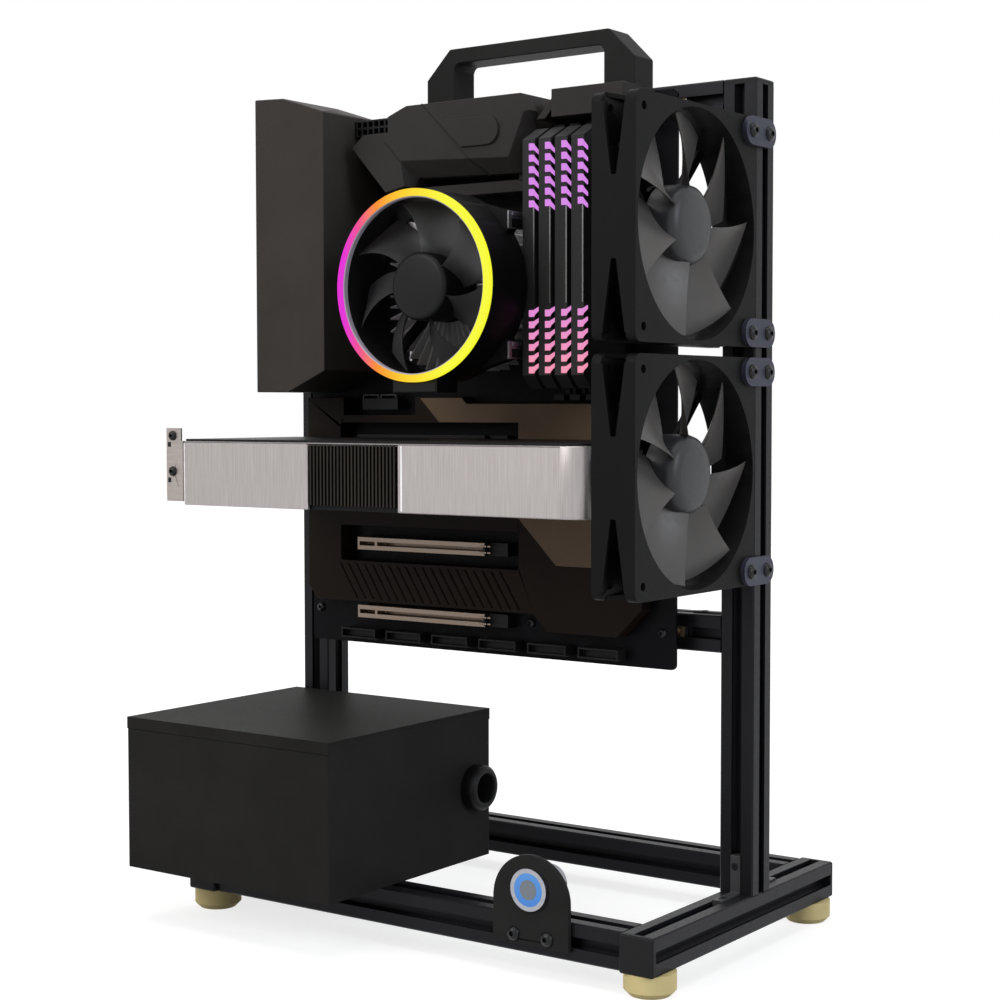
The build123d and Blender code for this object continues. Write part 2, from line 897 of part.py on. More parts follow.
with BuildPart() as button_light:
    with BuildSketch(facing(ring_rear)):
        with Locations(button_axis):
            Circle(button_ring / 2)
            Circle(button_cap / 2 + running_gap, mode=Mode.SUBTRACT)
    extrude(amount=button_ring_depth)
save(button_light, "button_light_ring")

with BuildPart() as power_button:
    with BuildSketch(facing(ring_rear + 2 * slip_gap)):
        with Locations(button_axis):
            Circle(button_cap / 2)
    extrude(amount=button_ring_depth + 2 * slip_gap)
    with BuildSketch(facing(ring_rear + 2 * slip_gap)):
        with Locations(button_axis):
            Circle(button_cap / 2 + button_travel / 2)
    extrude(amount=-button_travel)
save(power_button, "power_button")

# Power supply: case with guarded fan opening, and a cover with short skirts
psu_x, psu_y = (psu_left + psu_right) / 2, (psu_front + psu_rear) / 2
psu_middle = profile + psu_height / 2
inlet_y = psu_front + inlet_from_front
grommet_y = psu_rear - grommet_inset
grommet_z = profile + grommet_height
psu_hub_face = profile + motor_disc_thickness + psu_fan_drop
psu_hub_plane = Plane(origin=point(psu_x, psu_y, psu_hub_face), x_dir=RIGHT, z_dir=UP)
with BuildPart() as psu_case:
    with BuildSketch(level(profile)) as outline:
        with Locations((psu_x, psu_y)):
            Rectangle(psu_length, psu_width)
        fillet(outline.vertices(), psu_round)
    extrude(amount=psu_height - psu_wall)
    with BuildSketch(level(profile + psu_wall)):
        with Locations((psu_x, psu_y)):
            Rectangle(psu_length - 2 * psu_wall, psu_width - 2 * psu_wall)
    extrude(amount=psu_height, mode=Mode.SUBTRACT)
    with BuildSketch(level(psu_top - psu_skirt)):
        with Locations((psu_x, psu_front), (psu_x, psu_rear)):
            Rectangle(psu_length, 2 * psu_wall)
    extrude(amount=psu_skirt, mode=Mode.SUBTRACT)
    guard_ends = (psu_fan_bore + fan_hub) / 4
    guard_length = (psu_fan_bore - fan_hub) / 2
    guard_pitch = (fan_hub + psu_fan_bore) / 2 / psu_guard_slots
    with BuildSketch(level(profile)):
        with Locations((psu_x - guard_ends, psu_y), (psu_x + guard_ends, psu_y)):
            with GridLocations(guard_pitch, guard_pitch, 1, psu_guard_slots):
                Rectangle(guard_length, guard_pitch - psu_guard_bar)
    extrude(amount=psu_wall, mode=Mode.SUBTRACT)
    bearing_base(psu_hub_plane, psu_fan_drop, fan_hub, psu_fan_bore / 2, 0)
    with BuildSketch(side(psu_left)):
        with Locations((inlet_y, psu_middle)):
            Rectangle(inlet_width - 2 * inlet_border + slip_gap, inlet_height - 2 * inlet_border + slip_gap)
        with Locations((psu_rear - psu_vent_inset, psu_middle)):
            with HexLocations(psu_vent_pitch / 2, psu_vent_columns, psu_vent_rows):
                RegularPolygon(psu_vent_cell / 2, 6, major_radius=False, rotation=30)
    extrude(amount=psu_wall, mode=Mode.SUBTRACT)
    with BuildSketch(side(psu_right)):
        with Locations((grommet_y, grommet_z)):
            Circle(grommet_bore / 2 + grommet_wall + slip_gap)
    extrude(amount=-psu_wall, mode=Mode.SUBTRACT)
save(psu_case, "psu_case")

with BuildPart() as psu_cover:
    with BuildSketch(side(psu_left)):
        with Locations((psu_y, psu_top - psu_skirt / 2)):
            Rectangle(psu_width, psu_skirt - psu_seam)
        with Locations((psu_y, psu_top - psu_wall - psu_skirt / 2)):
            Rectangle(psu_width - 2 * psu_wall, psu_skirt, mode=Mode.SUBTRACT)
    extrude(amount=psu_length)
save(psu_cover, "psu_cover")

with BuildPart() as grommet:
    grommet_face = Plane(origin=point(psu_right, grommet_y, grommet_z), x_dir=REAR, z_dir=RIGHT)
    with BuildSketch(grommet_face):
        Circle(grommet_flange / 2)
    extrude(amount=grommet_reach)
    chamfer(grommet.faces().sort_by(Axis.X)[-1].edges(), grommet_wall)
    with BuildSketch(grommet_face):
        Circle(grommet_bore / 2 + grommet_wall)
    extrude(amount=-2 * psu_wall)
    with BuildSketch(grommet_face.offset(grommet_reach)):
        Circle(grommet_bore / 2)
    extrude(amount=-grommet_reach - 2 * psu_wall, mode=Mode.SUBTRACT)
save(grommet, "psu_grommet")

# Mains inlet with a rocker switch above it
inlet_face = Plane(origin=point(psu_left, inlet_y, psu_middle), x_dir=FRONT, z_dir=LEFT)
inlet_front = inlet_face.offset(inlet_flange)
rocker_height = inlet_height / 2 - inlet_border - rocker_opening / 2 - inlet_border
pivot = point(psu_left - inlet_flange + rocker_pivot, inlet_y, psu_middle + rocker_height)
socket_height = inlet_border * 2 + inlet_socket_height / 2 - inlet_height / 2
with BuildPart() as inlet:
    with BuildSketch(inlet_face):
        RectangleRounded(inlet_width, inlet_height, inlet_border)
    extrude(amount=inlet_flange)
    with BuildSketch(inlet_face):
        Rectangle(inlet_width - 2 * inlet_border, inlet_height - 2 * inlet_border)
    extrude(amount=-inlet_body)
    with BuildSketch(inlet_front) as mouth:
        with Locations((0, socket_height)):
            Rectangle(inlet_socket_width, inlet_socket_height)
        chamfer(mouth.vertices().group_by(Axis.Y)[0], inlet_socket_height / 4)
    extrude(amount=-inlet_socket_depth, mode=Mode.SUBTRACT)
    with BuildSketch(inlet_front.offset(-inlet_socket_depth)):
        with Locations((0, socket_height - inlet_pin_step)):
            Rectangle(inlet_pin_width, inlet_pin_height)
        with Locations((-inlet_pin_spacing, socket_height), (inlet_pin_spacing, socket_height)):
            Rectangle(inlet_pin_width, inlet_pin_height)
    extrude(amount=inlet_pin_length)
    with BuildSketch(inlet_front):
        with Locations((0, rocker_height)):
            Rectangle(rocker_width + 2 * rocker_side_gap, rocker_opening)
    extrude(amount=-rocker_recess, mode=Mode.SUBTRACT)
    with BuildSketch(Plane(origin=pivot, x_dir=UP, z_dir=FRONT)):
        Circle(rocker_pin / 2 + running_gap)
    extrude(amount=rocker_width / 2 + rocker_pin_length + rocker_side_gap, both=True, mode=Mode.SUBTRACT)
save(inlet, "psu_inlet")

with BuildPart() as rocker:
    rocker_run = Vector(UP).rotate(Axis((0, 0, 0), FRONT), rocker_tilt)
    rocker_plane = Plane(origin=pivot, x_dir=rocker_run, z_dir=FRONT)
    rocker_half = rocker_length / 2
    with BuildSketch(rocker_plane):
        Polygon(
            (-rocker_half, rocker_pivot + rocker_rise),
            (0, rocker_pivot + rocker_dip),
            (rocker_half, rocker_pivot + rocker_rise),
            (rocker_half, rocker_dip),
            (rocker_pin, -rocker_pin),
            (-rocker_pin, -rocker_pin),
            (-rocker_half, rocker_dip),
            align=None,
        )
    extrude(amount=rocker_width / 2, both=True)
    with BuildSketch(rocker_plane):
        Circle(rocker_pin / 2)
    extrude(amount=rocker_width / 2 + rocker_pin_length, both=True)
save(rocker, "psu_rocker")

psu_tip = psu_fan_bore - 2 * fan_tip_gap
psu_rotor = fan_rotor(psu_fan_drop, psu_tip, fan_hub, fan_blades, fan_blade_depth, fan_sweep)
place("psu_fan_rotor", psu_rotor, psu_hub_plane)

# Board on six standoffs in the crossbars' slots
with BuildPart() as motherboard:
    with BuildSketch(facing(board_front)) as outline:
        with Locations((board_left + board_width / 2, board_bottom + board_height / 2)):
            Rectangle(board_width, board_height)
        fillet(outline.vertices(), board_round)
        with Locations(*hole_places):
            Circle(board_hole / 2, mode=Mode.SUBTRACT)
    extrude(amount=-board_thickness)
save(motherboard, "motherboard")

with BuildPart() as standoffs:
    with BuildSketch(facing(board_rear)):
        with Locations(*hole_places):
            RegularPolygon(standoff_width / 2, 6, major_radius=False)
    extrude(amount=board_rear - post_setback)
    with BuildSketch(facing(post_setback)):
        with Locations(*hole_places):
            RegularPolygon(screw_shank / 2, fastener_sides)
    extrude(amount=-standoff_stud)
    with BuildSketch(facing(board_rear)):
        with Locations(*hole_places):
            RegularPolygon(small_shank / 2 + thread_gap, fastener_sides)
    extrude(amount=-standoff_bore_depth, mode=Mode.SUBTRACT)
save(standoffs, "standoffs")

# Small screws of the board and of the card's bracket
with BuildPart() as small_screw:
    with BuildSketch():
        RegularPolygon(small_head / 2, fastener_sides)
    extrude(amount=small_head_height, taper=screw_taper)
    with BuildSketch():
        RegularPolygon(small_shank / 2, fastener_sides)
    extrude(amount=-small_length)
card_tab_face = card_front - card_bracket_sheet
card_screw_x = card_left - card_bracket_sheet - card_tab + card_screw_from_edge
small_places = [Plane(origin=point(x, board_front, z), x_dir=RIGHT, z_dir=FRONT) for x, z in hole_places]
small_places += [
    Plane(origin=point(card_screw_x, card_tab_face, z), x_dir=RIGHT, z_dir=FRONT) for z in card_screw_z
]
with BuildPart() as small_screws:
    with Locations(*small_places):
        add(small_screw.part)
save(small_screws, "small_screws")

# Cover over the rear ports, open to the left and at the back, and the block of ports under it
with BuildPart() as io_cover:
    with BuildSketch(facing(board_front)):
        Polygon(
            (board_left, io_bottom),
            (board_left, io_top),
            (io_shoulder_start, io_top - io_top_fall),
            (io_right, io_shoulder),
            (io_right, io_bottom + io_cut_rise),
            (io_cut_start, io_bottom),
            align=None,
        )
    extrude(amount=board_front - io_front)
    open_sides = [io_cover.faces().sort_by(Axis.X)[0], io_cover.faces().sort_by(Axis.Y)[-1]]
    offset(amount=-io_wall, openings=open_sides)
save(io_cover, "io_cover")

with BuildPart() as io_ports:
    port_mid = (port_front + board_front) / 2
    port_z = (port_bottom + port_top) / 2
    with BuildSketch(side(port_left)):
        with Locations((port_mid, port_z)):
            Rectangle(board_front - port_front, port_top - port_bottom)
    extrude(amount=port_right - port_left)
    with BuildSketch(side(port_left)):
        with Locations((port_mid, port_z)):
            with GridLocations(port_pitch, port_pitch, port_columns, port_rows - 2):
                Rectangle(port_height, port_width)
        with Locations((port_mid, port_z + port_pitch * (port_rows - 1) / 2)):
            Rectangle(port_pitch, port_width)
        with Locations((port_mid, port_z - port_pitch * (port_rows - 1) / 2)):
            with GridLocations(port_pitch / 2, port_pitch / 2, audio_columns, audio_rows):
                Circle(port_height / 2)
    extrude(amount=port_recess, mode=Mode.SUBTRACT)
save(io_ports, "io_ports")

# Power stage heatsink: slanted arm, bevelled main block and a bar to the right over a low floor
with BuildPart() as sink:
    with BuildSketch(facing(board_front)):
        Polygon(
            (sink_arm_left, sink_arm_top - sink_arm_cut_drop),
            (sink_arm_left + sink_arm_cut, sink_arm_top),
            (sink_left, sink_arm_top),
            (sink_left, sink_top - sink_shoulder_drop),
            (sink_left + sink_shoulder, sink_top),
            (sink_right - sink_corner, sink_top),
            (sink_right, sink_top - sink_corner_drop),
            (sink_right, sink_bottom + sink_toe_rise),
            (sink_right - sink_toe, sink_bottom),
            (sink_left + sink_heel, sink_bottom),
            (sink_left + sink_ankle, sink_arm_bottom + sink_ankle_rise),
            (sink_left - sink_arm_end, sink_arm_bottom),
            align=None,
        )
    extrude(amount=board_front - sink_front)
    front_edges = sink.faces().sort_by(Axis.Y)[0].edges()
    bevel_limit = point(0, 0, sink_bottom + sink_toe_rise / 2 + sink_groove).Z
    low_edges = front_edges.filter_by(lambda edge: edge.center().Z < bevel_limit)
    heel_x = point(sink_left + sink_heel, 0, 0).X
    chamfer(low_edges.filter_by(lambda edge: edge.center().X > heel_x), sink_bevel)
    with BuildSketch(facing(board_front)):
        with Locations(((sink_right + sink_bar_right) / 2, (sink_bar_bottom + sink_top) / 2)):
            Rectangle(sink_bar_right - sink_right, sink_top - sink_bar_bottom)
    extrude(amount=sink_floor)
    with BuildSketch(facing(board_front)):
        with Locations(((sink_bar_left + sink_bar_right) / 2, (sink_bar_bottom + sink_top) / 2)):
            Rectangle(sink_bar_right - sink_bar_left, sink_top - sink_bar_bottom)
    extrude(amount=board_front - sink_front)
    with BuildSketch(facing(board_front)):
        Polygon(
            (sink_right - sink_strut, sink_bar_bottom),
            (sink_right + sink_strut, sink_bar_bottom),
            (sink_right + sink_strut + sink_strut_run, sink_top),
            (sink_right + sink_strut_run, sink_top),
            align=None,
        )
    extrude(amount=board_front - sink_front - sink_strut_drop)
    rail_left = sink_left + sink_rail_start
    with BuildSketch(facing(board_front)):
        with Locations(((rail_left + sink_right) / 2, sink_rail_bottom + sink_rail_height / 2)):
            Rectangle(sink_right - rail_left, sink_rail_height)
        with Locations((sink_right - sink_toe - sink_rail_height / 2, (sink_rail_bottom + sink_bottom) / 2)):
            Rectangle(sink_rail_height, sink_bottom - sink_rail_bottom)
    extrude(amount=sink_rail_rise)
    with BuildSketch(facing(sink_front)):
        with Locations((sink_disc_x, sink_disc_z)):
            Circle(sink_disc / 2)
        Polygon(
            (sink_disc_x, sink_disc_z + sink_disc / 2),
            (sink_disc_x - sink_tongue, sink_disc_z + sink_disc / 2),
            (sink_disc_x - sink_tongue + sink_disc, sink_disc_z - sink_disc / 2),
            (sink_disc_x, sink_disc_z - sink_disc / 2),
            align=None,
        )
    extrude(amount=sink_disc_height)
    groove_mid = ((sink_left + sink_shoulder + sink_disc_x - sink_tongue) / 2, (sink_top + sink_bottom) / 2)
    with BuildSketch(facing(sink_front)):
        with Locations(groove_mid):
            Rectangle(2 * (sink_top - sink_bottom), sink_groove, rotation=-sink_groove_lean)
        with Locations((sink_left, (sink_arm_top + sink_arm_bottom) / 2)):
            Rectangle(2 * (sink_arm_top - sink_arm_bottom), sink_groove, rotation=-sink_groove_lean)
    extrude(amount=-sink_groove_depth, mode=Mode.SUBTRACT)
    with BuildSketch(facing(board_front)):
        with Locations(*hole_places):
            Circle(sink_relief / 2)
    extrude(amount=small_head_height + small_length, mode=Mode.SUBTRACT)
save(sink, "vrm_heatsink")

# Processor socket with the processor's lid, and the cooler on it
socket_front = board_front - socket_thickness
with BuildPart() as cpu_socket:
    with BuildSketch(facing(board_front)):
        with Locations((cooler_x, cooler_z)):
            RectangleRounded(socket_width, socket_width, board_round)
    extrude(amount=socket_thickness)
    with BuildSketch(facing(socket_front)):
        with Locations((cooler_x, cooler_z)):
            RectangleRounded(lid_width, lid_width, board_round)
    extrude(amount=lid_thickness)
save(cpu_socket, "cpu_socket")

lid_front = socket_front - lid_thickness
fin_rear = lid_front - sink_base_thickness
fin_count = int(fin_block_width / fin_pitch)
with BuildPart() as heatsink:
    with BuildSketch(facing(lid_front)):
        with Locations((cooler_x, cooler_z)):
            Rectangle(sink_base_width, sink_base_width)
    extrude(amount=sink_base_thickness)
    with BuildSketch(facing(fin_rear)):
        with Locations((cooler_x, cooler_z)):
            Rectangle(fin_block_width, fin_block_height)
    extrude(amount=fin_floor)
    with BuildSketch(facing(fin_rear - fin_floor)):
        with Locations((cooler_x, cooler_z)):
            with GridLocations(fin_pitch, fin_pitch, fin_count, 1):
                Rectangle(fin_thickness, fin_block_height)
    extrude(amount=fin_rear - fin_floor - fin_front)
save(heatsink, "cooler_heatsink")

ring_rear_face = ring_front + ring_thickness
shroud_outer = ring_diameter / 2
shroud_inner = shroud_outer - shroud_wall
cooler_hub_plane = Plane(origin=point(cooler_x, cooler_hub_front, cooler_z), x_dir=RIGHT, z_dir=FRONT)
cooler_drop = fin_front - motor_disc_thickness - cooler_hub_front
shroud_middle = (shroud_outer + shroud_inner) / 2
ear = [
    (shroud_middle * cos(radians(shroud_ear_near)), shroud_middle * sin(radians(shroud_ear_near))),
    (shroud_ear_width, shroud_ear_top),
    (shroud_ear_width, shroud_ear_low),
    (shroud_middle * cos(radians(shroud_ear_far)), shroud_middle * sin(radians(shroud_ear_far))),
]
with BuildPart() as shroud:
    with BuildSketch(facing(fin_front)):
        with Locations((cooler_x, cooler_z)):
            Circle(shroud_outer)
    extrude(amount=fin_front - ring_rear_face)
    with BuildSketch(facing(ring_rear_face)):
        with Locations((cooler_x, cooler_z - shroud_outer)):
            Rectangle(shroud_tab_width, 2 * shroud_tab_drop)
    extrude(amount=-shroud_tab_length)
    with BuildSketch(facing(fin_front)):
        with Locations((cooler_x, cooler_z)):
            Polygon(*ear, align=None)
            Polygon(*[(-x, z) for x, z in ear], align=None)
            Polygon(*[(x, -z) for x, z in ear], align=None)
            Polygon(*[(-x, -z) for x, z in ear], align=None)
    extrude(amount=shroud_ear_depth)
    with BuildSketch(facing(ring_rear_face)):
        with Locations((cooler_x, cooler_z)):
            Circle(shroud_inner)
    extrude(amount=ring_rear_face - fin_front, mode=Mode.SUBTRACT)
    bearing_base(cooler_hub_plane, cooler_drop, cooler_hub, shroud_inner, fan_struts)
save(shroud, "cooler_shroud")

with BuildPart() as light_ring:
    with BuildSketch(facing(ring_rear_face)):
        with Locations((cooler_x, cooler_z)):
            Circle(ring_diameter / 2)
            Circle(ring_diameter / 2 - ring_width, mode=Mode.SUBTRACT)
    extrude(amount=ring_thickness)
save(light_ring, "cooler_light_ring")

cooler_tip = 2 * (shroud_outer - ring_width - cooler_tip_gap)
cooler_rotor = fan_rotor(cooler_drop, cooler_tip, cooler_hub, cooler_blades, cooler_blade_depth, cooler_sweep)
place("cooler_rotor", cooler_rotor, cooler_hub_plane)

# Four bent brackets that hold the cooler to the board
clip_inner = fin_block_width / 2
clip_outline = [
    (clip_inner, clip_front),
    (clip_inner + clip_sheet, clip_front),
    (clip_inner + clip_sheet, board_front),
    (clip_inner - clip_foot, board_front),
    (clip_inner - clip_foot, board_front - clip_sheet),
    (clip_inner, board_front - clip_sheet),
]
with BuildPart() as clips:
    for clip_z in (cooler_z - clip_spacing / 2, cooler_z + clip_spacing / 2):
        with BuildSketch(level(clip_z)):
            for hand in (-1, 1):
                Polygon(*[(cooler_x + hand * x, y) for x, y in clip_outline], align=None)
        extrude(amount=clip_width / 2, both=True)
save(clips, "cooler_clip")

# Memory slots with closed latches, the modules in them and their light bars
memory_x = [memory_left + memory_thickness / 2 + memory_pitch * i for i in range(memory_count)]
memory_rear = board_front - memory_slot_height
memory_middle = (memory_bottom + memory_top) / 2
blade_end = memory_rear + memory_blade_depth
slot_middle = (memory_slot_bottom + memory_slot_top) / 2
slot_span = memory_slot_top - memory_slot_bottom
with BuildPart() as memory_slots:
    with BuildSketch(facing(board_front)):
        with Locations(*[(x, slot_middle) for x in memory_x]):
            Rectangle(memory_slot_width, slot_span)
    extrude(amount=memory_slot_height)
    with BuildSketch(facing(board_front)):
        for end in (-1, 1):
            with Locations(*[(x, slot_middle + end * (slot_span + latch_thickness) / 2) for x in memory_x]):
                Rectangle(memory_slot_width, latch_thickness)
    extrude(amount=memory_slot_height + latch_rise)
    with BuildSketch(facing(memory_rear)):
        with Locations(*[(x, slot_middle) for x in memory_x]):
            Rectangle(memory_blade + 2 * slip_gap, slot_span)
    extrude(amount=-memory_blade_depth - slip_gap, mode=Mode.SUBTRACT)
save(memory_slots, "memory_slots")

module_outline = [
    (memory_front, memory_bottom + memory_nose),
    (memory_front, memory_top - memory_nose),
    (memory_front + memory_slope, memory_top),
    (memory_rear, memory_top),
    (memory_rear, memory_bottom),
    (memory_front + memory_nose, memory_bottom),
]
for number, x in enumerate(memory_x, 1):
    with BuildPart() as module:
        with BuildSketch(side(x)):
            Polygon(*module_outline, align=None)
        extrude(amount=memory_thickness / 2, both=True)
        with BuildSketch(side(x - memory_thickness / 2)):
            with Locations((memory_front + memory_slope + memory_panel / 2, memory_middle)):
                Rectangle(memory_panel, memory_top - memory_bottom - 2 * memory_nose)
        extrude(amount=memory_panel_depth, mode=Mode.SUBTRACT)
        with BuildSketch(side(x)):
            with Locations(((memory_rear + blade_end) / 2, memory_middle)):
                Rectangle(blade_end - memory_rear, memory_top - memory_bottom - 2 * slip_gap)
        extrude(amount=memory_blade / 2, both=True)
    save(module, f"memory_module_{number}")

with BuildPart() as light_bars:
    bar_span = light_pitch * (light_rows - 1) / 2
    upper_bars = memory_top - memory_nose - light_margin - light_height / 2 - bar_span
    lower_bars = memory_bottom + memory_nose + light_margin + light_height / 2 + bar_span
    with BuildSketch(facing(memory_front)):
        for bars_z, lean in ((upper_bars, light_slant), (lower_bars, -light_slant)):
            with Locations(*[(x + memory_thickness / 2, bars_z) for x in memory_x]):
                with GridLocations(light_pitch, light_pitch, 1, light_rows):
                    Polygon(
                        (-light_width, (light_height + lean) / 2),
                        (0, (light_height - lean) / 2),
                        (0, -(light_height + lean) / 2),
                        (-light_width, -(light_height - lean) / 2),
                        align=None,
                    )
    extrude(amount=light_thickness)
save(light_bars, "memory_light_bars")

# Expansion slots with their latches
with BuildPart() as expansion_slots:
    with BuildSketch(facing(board_front)):
        with Locations(*[(slot_left + slot_length / 2, z) for z in slot_z]):
            Rectangle(slot_length, slot_height)
    extrude(amount=slot_rise)
    with BuildSketch(facing(board_front)):
        with Locations(*[(slot_right + slot_latch / 2, z) for z in slot_z]):
            Rectangle(slot_latch, slot_height)
    extrude(amount=slot_latch_rise)
    with BuildSketch(facing(board_front - slot_rise)):
        with Locations(*[(slot_left + slot_length / 2, z) for z in slot_z]):
            Rectangle(slot_length - 2 * slot_end, slot_slit)
        with Locations(*[(slot_left + slot_key, z) for z in slot_z]):
            Rectangle(slot_key_width, slot_slit, mode=Mode.SUBTRACT)
    extrude(amount=-slot_slit_depth, mode=Mode.SUBTRACT)
save(expansion_slots, "expansion_slots")

# Armour plate over the lower board, with pockets for two slots, a recess and slanted grooves
with BuildPart() as armour:
    with BuildSketch(facing(board_front)):
        Polygon(
            (armour_left, armour_crest),
            (armour_left, armour_bottom + armour_cut),
            (armour_left + armour_cut, armour_bottom),
            (armour_drop_start, armour_bottom),
            (armour_drop_start + armour_bottom - armour_drop, armour_drop),
            (armour_right - armour_corner, armour_drop),
            (armour_right, armour_drop + armour_corner),
            (armour_right, armour_top),
            (armour_crest_end + armour_crest - armour_top, armour_top),
            (armour_crest_end, armour_crest),
            align=None,
        )
        with Locations(*[((pocket_left + pocket_right) / 2, z) for z in slot_z[1:]]):
            RectangleRounded(pocket_right - pocket_left, pocket_height, pocket_round, mode=Mode.SUBTRACT)
        with Locations(((recess_left + recess_right) / 2, armour_crest)):
            Rectangle(recess_right - recess_left, 2 * (armour_crest - recess_bottom), mode=Mode.SUBTRACT)
    extrude(amount=board_front - armour_front)
    stripe_top = slot_z[1] - pocket_height / 2 - stripe_margin
    stripe_low = armour_bottom + stripe_margin
    with BuildSketch(facing(armour_front)):
        with Locations((stripe_left + stripe_pitch * stripe_count / 2, 0)):
            with GridLocations(stripe_pitch, stripe_pitch, stripe_count, 1):
                Polygon(
                    (0, stripe_top),
                    (stripe_width, stripe_top),
                    (stripe_lean + stripe_width, stripe_low),
                    (stripe_lean, stripe_low),
                    align=None,
                )
    extrude(amount=-stripe_depth, mode=Mode.SUBTRACT)
save(armour, "board_armour")

pocket_edge = pocket_right + cover_margin
pocket_low = slot_card - pocket_height / 2 - cover_margin
pocket_high = slot_card + pocket_height / 2 + cover_margin
cover_top = armour_crest - cover_margin
with BuildPart() as chipset_cover:
    with BuildSketch(facing(armour_front)):
        Polygon(
            (cover_left, cover_top),
            (cover_left + cover_top - pocket_high, pocket_high),
            (pocket_edge, pocket_high),
            (pocket_edge, pocket_low),
            (cover_slope_end - pocket_low + cover_bottom, pocket_low),
            (cover_slope_end, cover_bottom),
            (armour_right - cover_margin, cover_bottom),
            (armour_right - cover_margin, armour_top - cover_margin),
            (armour_crest_end + armour_crest - armour_top, armour_top - cover_margin),
            (armour_crest_end, cover_top),
            align=None,
        )
    extrude(amount=cover_thickness)
save(chipset_cover, "chipset_cover")

# Sockets and headers along the board's edges
edge_socket_x = board_right - edge_socket_depth / 2 - edge_socket_margin
with BuildPart() as connectors:
    with BuildSketch(facing(board_front)):
        with Locations((power_x, power_z)):
            Rectangle(power_length, power_height)
    extrude(amount=power_rise)
    with BuildSketch(facing(board_front)):
        with Locations((edge_socket_x, edge_power_z)):
            Rectangle(edge_socket_depth, edge_power_length)
        with Locations((edge_socket_x, edge_data_z)):
            Rectangle(edge_socket_depth, edge_data_length)
        with Locations((header_left + header_pitch * (header_count - 1) / 2, board_bottom + header_inset)):
            with GridLocations(header_pitch, header_pitch, header_count, 1):
                Rectangle(header_length, header_width)
        with Locations(((recess_left + recess_right) / 2, recess_bottom + recess_socket_height)):
            Rectangle(recess_socket_length, recess_socket_height)
    extrude(amount=header_rise)
    with BuildSketch(facing(board_front - power_rise)):
        with Locations((power_x, power_z)):
            with GridLocations(power_cell_pitch, power_cell_pitch, power_columns, power_rows):
                Rectangle(power_cell, power_cell)
    extrude(amount=-power_rise / 2, mode=Mode.SUBTRACT)
    with BuildSketch(facing(board_front - header_rise)):
        with Locations((header_left + header_pitch * (header_count - 1) / 2, board_bottom + header_inset)):
            with GridLocations(header_pitch, header_pitch, header_count, 1):
                Rectangle(header_length - header_wall, header_width - header_wall)
        with Locations((edge_socket_x, edge_power_z)):
            Rectangle(edge_socket_depth - 2 * header_wall, edge_power_length - header_wall)
        with Locations((edge_socket_x, edge_data_z)):
            Rectangle(edge_socket_depth - 2 * header_wall, edge_data_length - header_wall)
    extrude(amount=-header_rise / 2, mode=Mode.SUBTRACT)
save(connectors, "board_connectors")

# Graphics card: board with its edge in the slot, ring-shaped frame, shroud with fans underneath
card_middle_y = (card_front + card_rear) / 2
card_inner_left = card_left + card_wall
card_inner_right = card_right - card_wall
card_inner_front = card_front + card_wall
card_inner_rear = card_rear - card_wall
slot_mouth_y = board_front - slot_rise
finger_end = slot_mouth_y + slot_slit_depth - slip_gap
with BuildPart() as card_board:
    with BuildSketch(level(card_board_bottom)):
        with Locations(((card_inner_left + card_board_right) / 2, card_middle_y)):
            Rectangle(
                card_board_right - card_inner_left - 2 * slip_gap,
                card_rear - card_front - 2 * card_wall - 2 * slip_gap,
            )
        finger_left = slot_left + slot_end + slip_gap
        finger_right = slot_right - slot_end - slip_gap
        with Locations(((finger_left + finger_right) / 2, (card_middle_y + finger_end) / 2)):
            Rectangle(finger_right - finger_left, finger_end - card_middle_y)
        with Locations((slot_left + slot_key, finger_end)):
            Rectangle(slot_key_width + 4 * slip_gap, 2 * slot_slit_depth, mode=Mode.SUBTRACT)
    extrude(amount=card_board_thickness)
save(card_board, "card_board")

with BuildPart() as backplate:
    with BuildSketch(level(card_board_top)) as outline:
        with Locations(((card_left + card_right) / 2, card_middle_y)):
            Rectangle(
                card_right - card_left - 2 * card_plate_margin,
                card_rear - card_front - 2 * card_plate_margin,
            )
        fillet(outline.vertices().group_by(Axis.X)[-1], card_round - card_plate_margin)
    extrude(amount=card_plate_thickness)
save(backplate, "card_backplate")

card_fin_x = (card_fins_left + card_fins_right) / 2
card_fin_width = card_fins_right - card_fins_left
with BuildPart() as card_frame:
    with BuildSketch(level(card_bottom)) as outline:
        with Locations(((card_left + card_right) / 2, card_middle_y)):
            Rectangle(card_right - card_left, card_rear - card_front)
        fillet(outline.vertices().group_by(Axis.X)[-1], card_round)
    extrude(amount=card_board_top - card_bottom)
    with BuildSketch(level(card_bottom)) as hollow:
        with Locations(((card_left + card_right) / 2, card_middle_y)):
            Rectangle(card_inner_right - card_inner_left, card_inner_rear - card_inner_front)
        fillet(hollow.vertices().group_by(Axis.X)[-1], card_round - card_wall)
    extrude(amount=card_board_top - card_bottom, mode=Mode.SUBTRACT)
    with BuildSketch(facing(card_front)):
        with Locations((card_fin_x, (card_bottom + card_board_bottom) / 2)):
            Rectangle(card_fin_width + 2 * slip_gap, card_board_bottom - card_bottom)
    extrude(amount=-card_wall, mode=Mode.SUBTRACT)
    with BuildSketch(facing(card_rear)):
        with Locations(((finger_left + finger_right) / 2, card_board_top)):
            Rectangle(finger_right - finger_left + 4 * slip_gap, 2 * card_board_thickness + 2 * slip_gap)
    extrude(amount=card_wall, mode=Mode.SUBTRACT)
    with BuildSketch(side(card_left)):
        with Locations((card_middle_y, card_port_z)):
            with GridLocations(card_port_pitch, card_port_pitch, card_port_count, 1):
                Rectangle(card_port_width + 2 * slip_gap, card_port_height + 2 * slip_gap)
    extrude(amount=card_wall, mode=Mode.SUBTRACT)
save(card_frame, "card_frame")

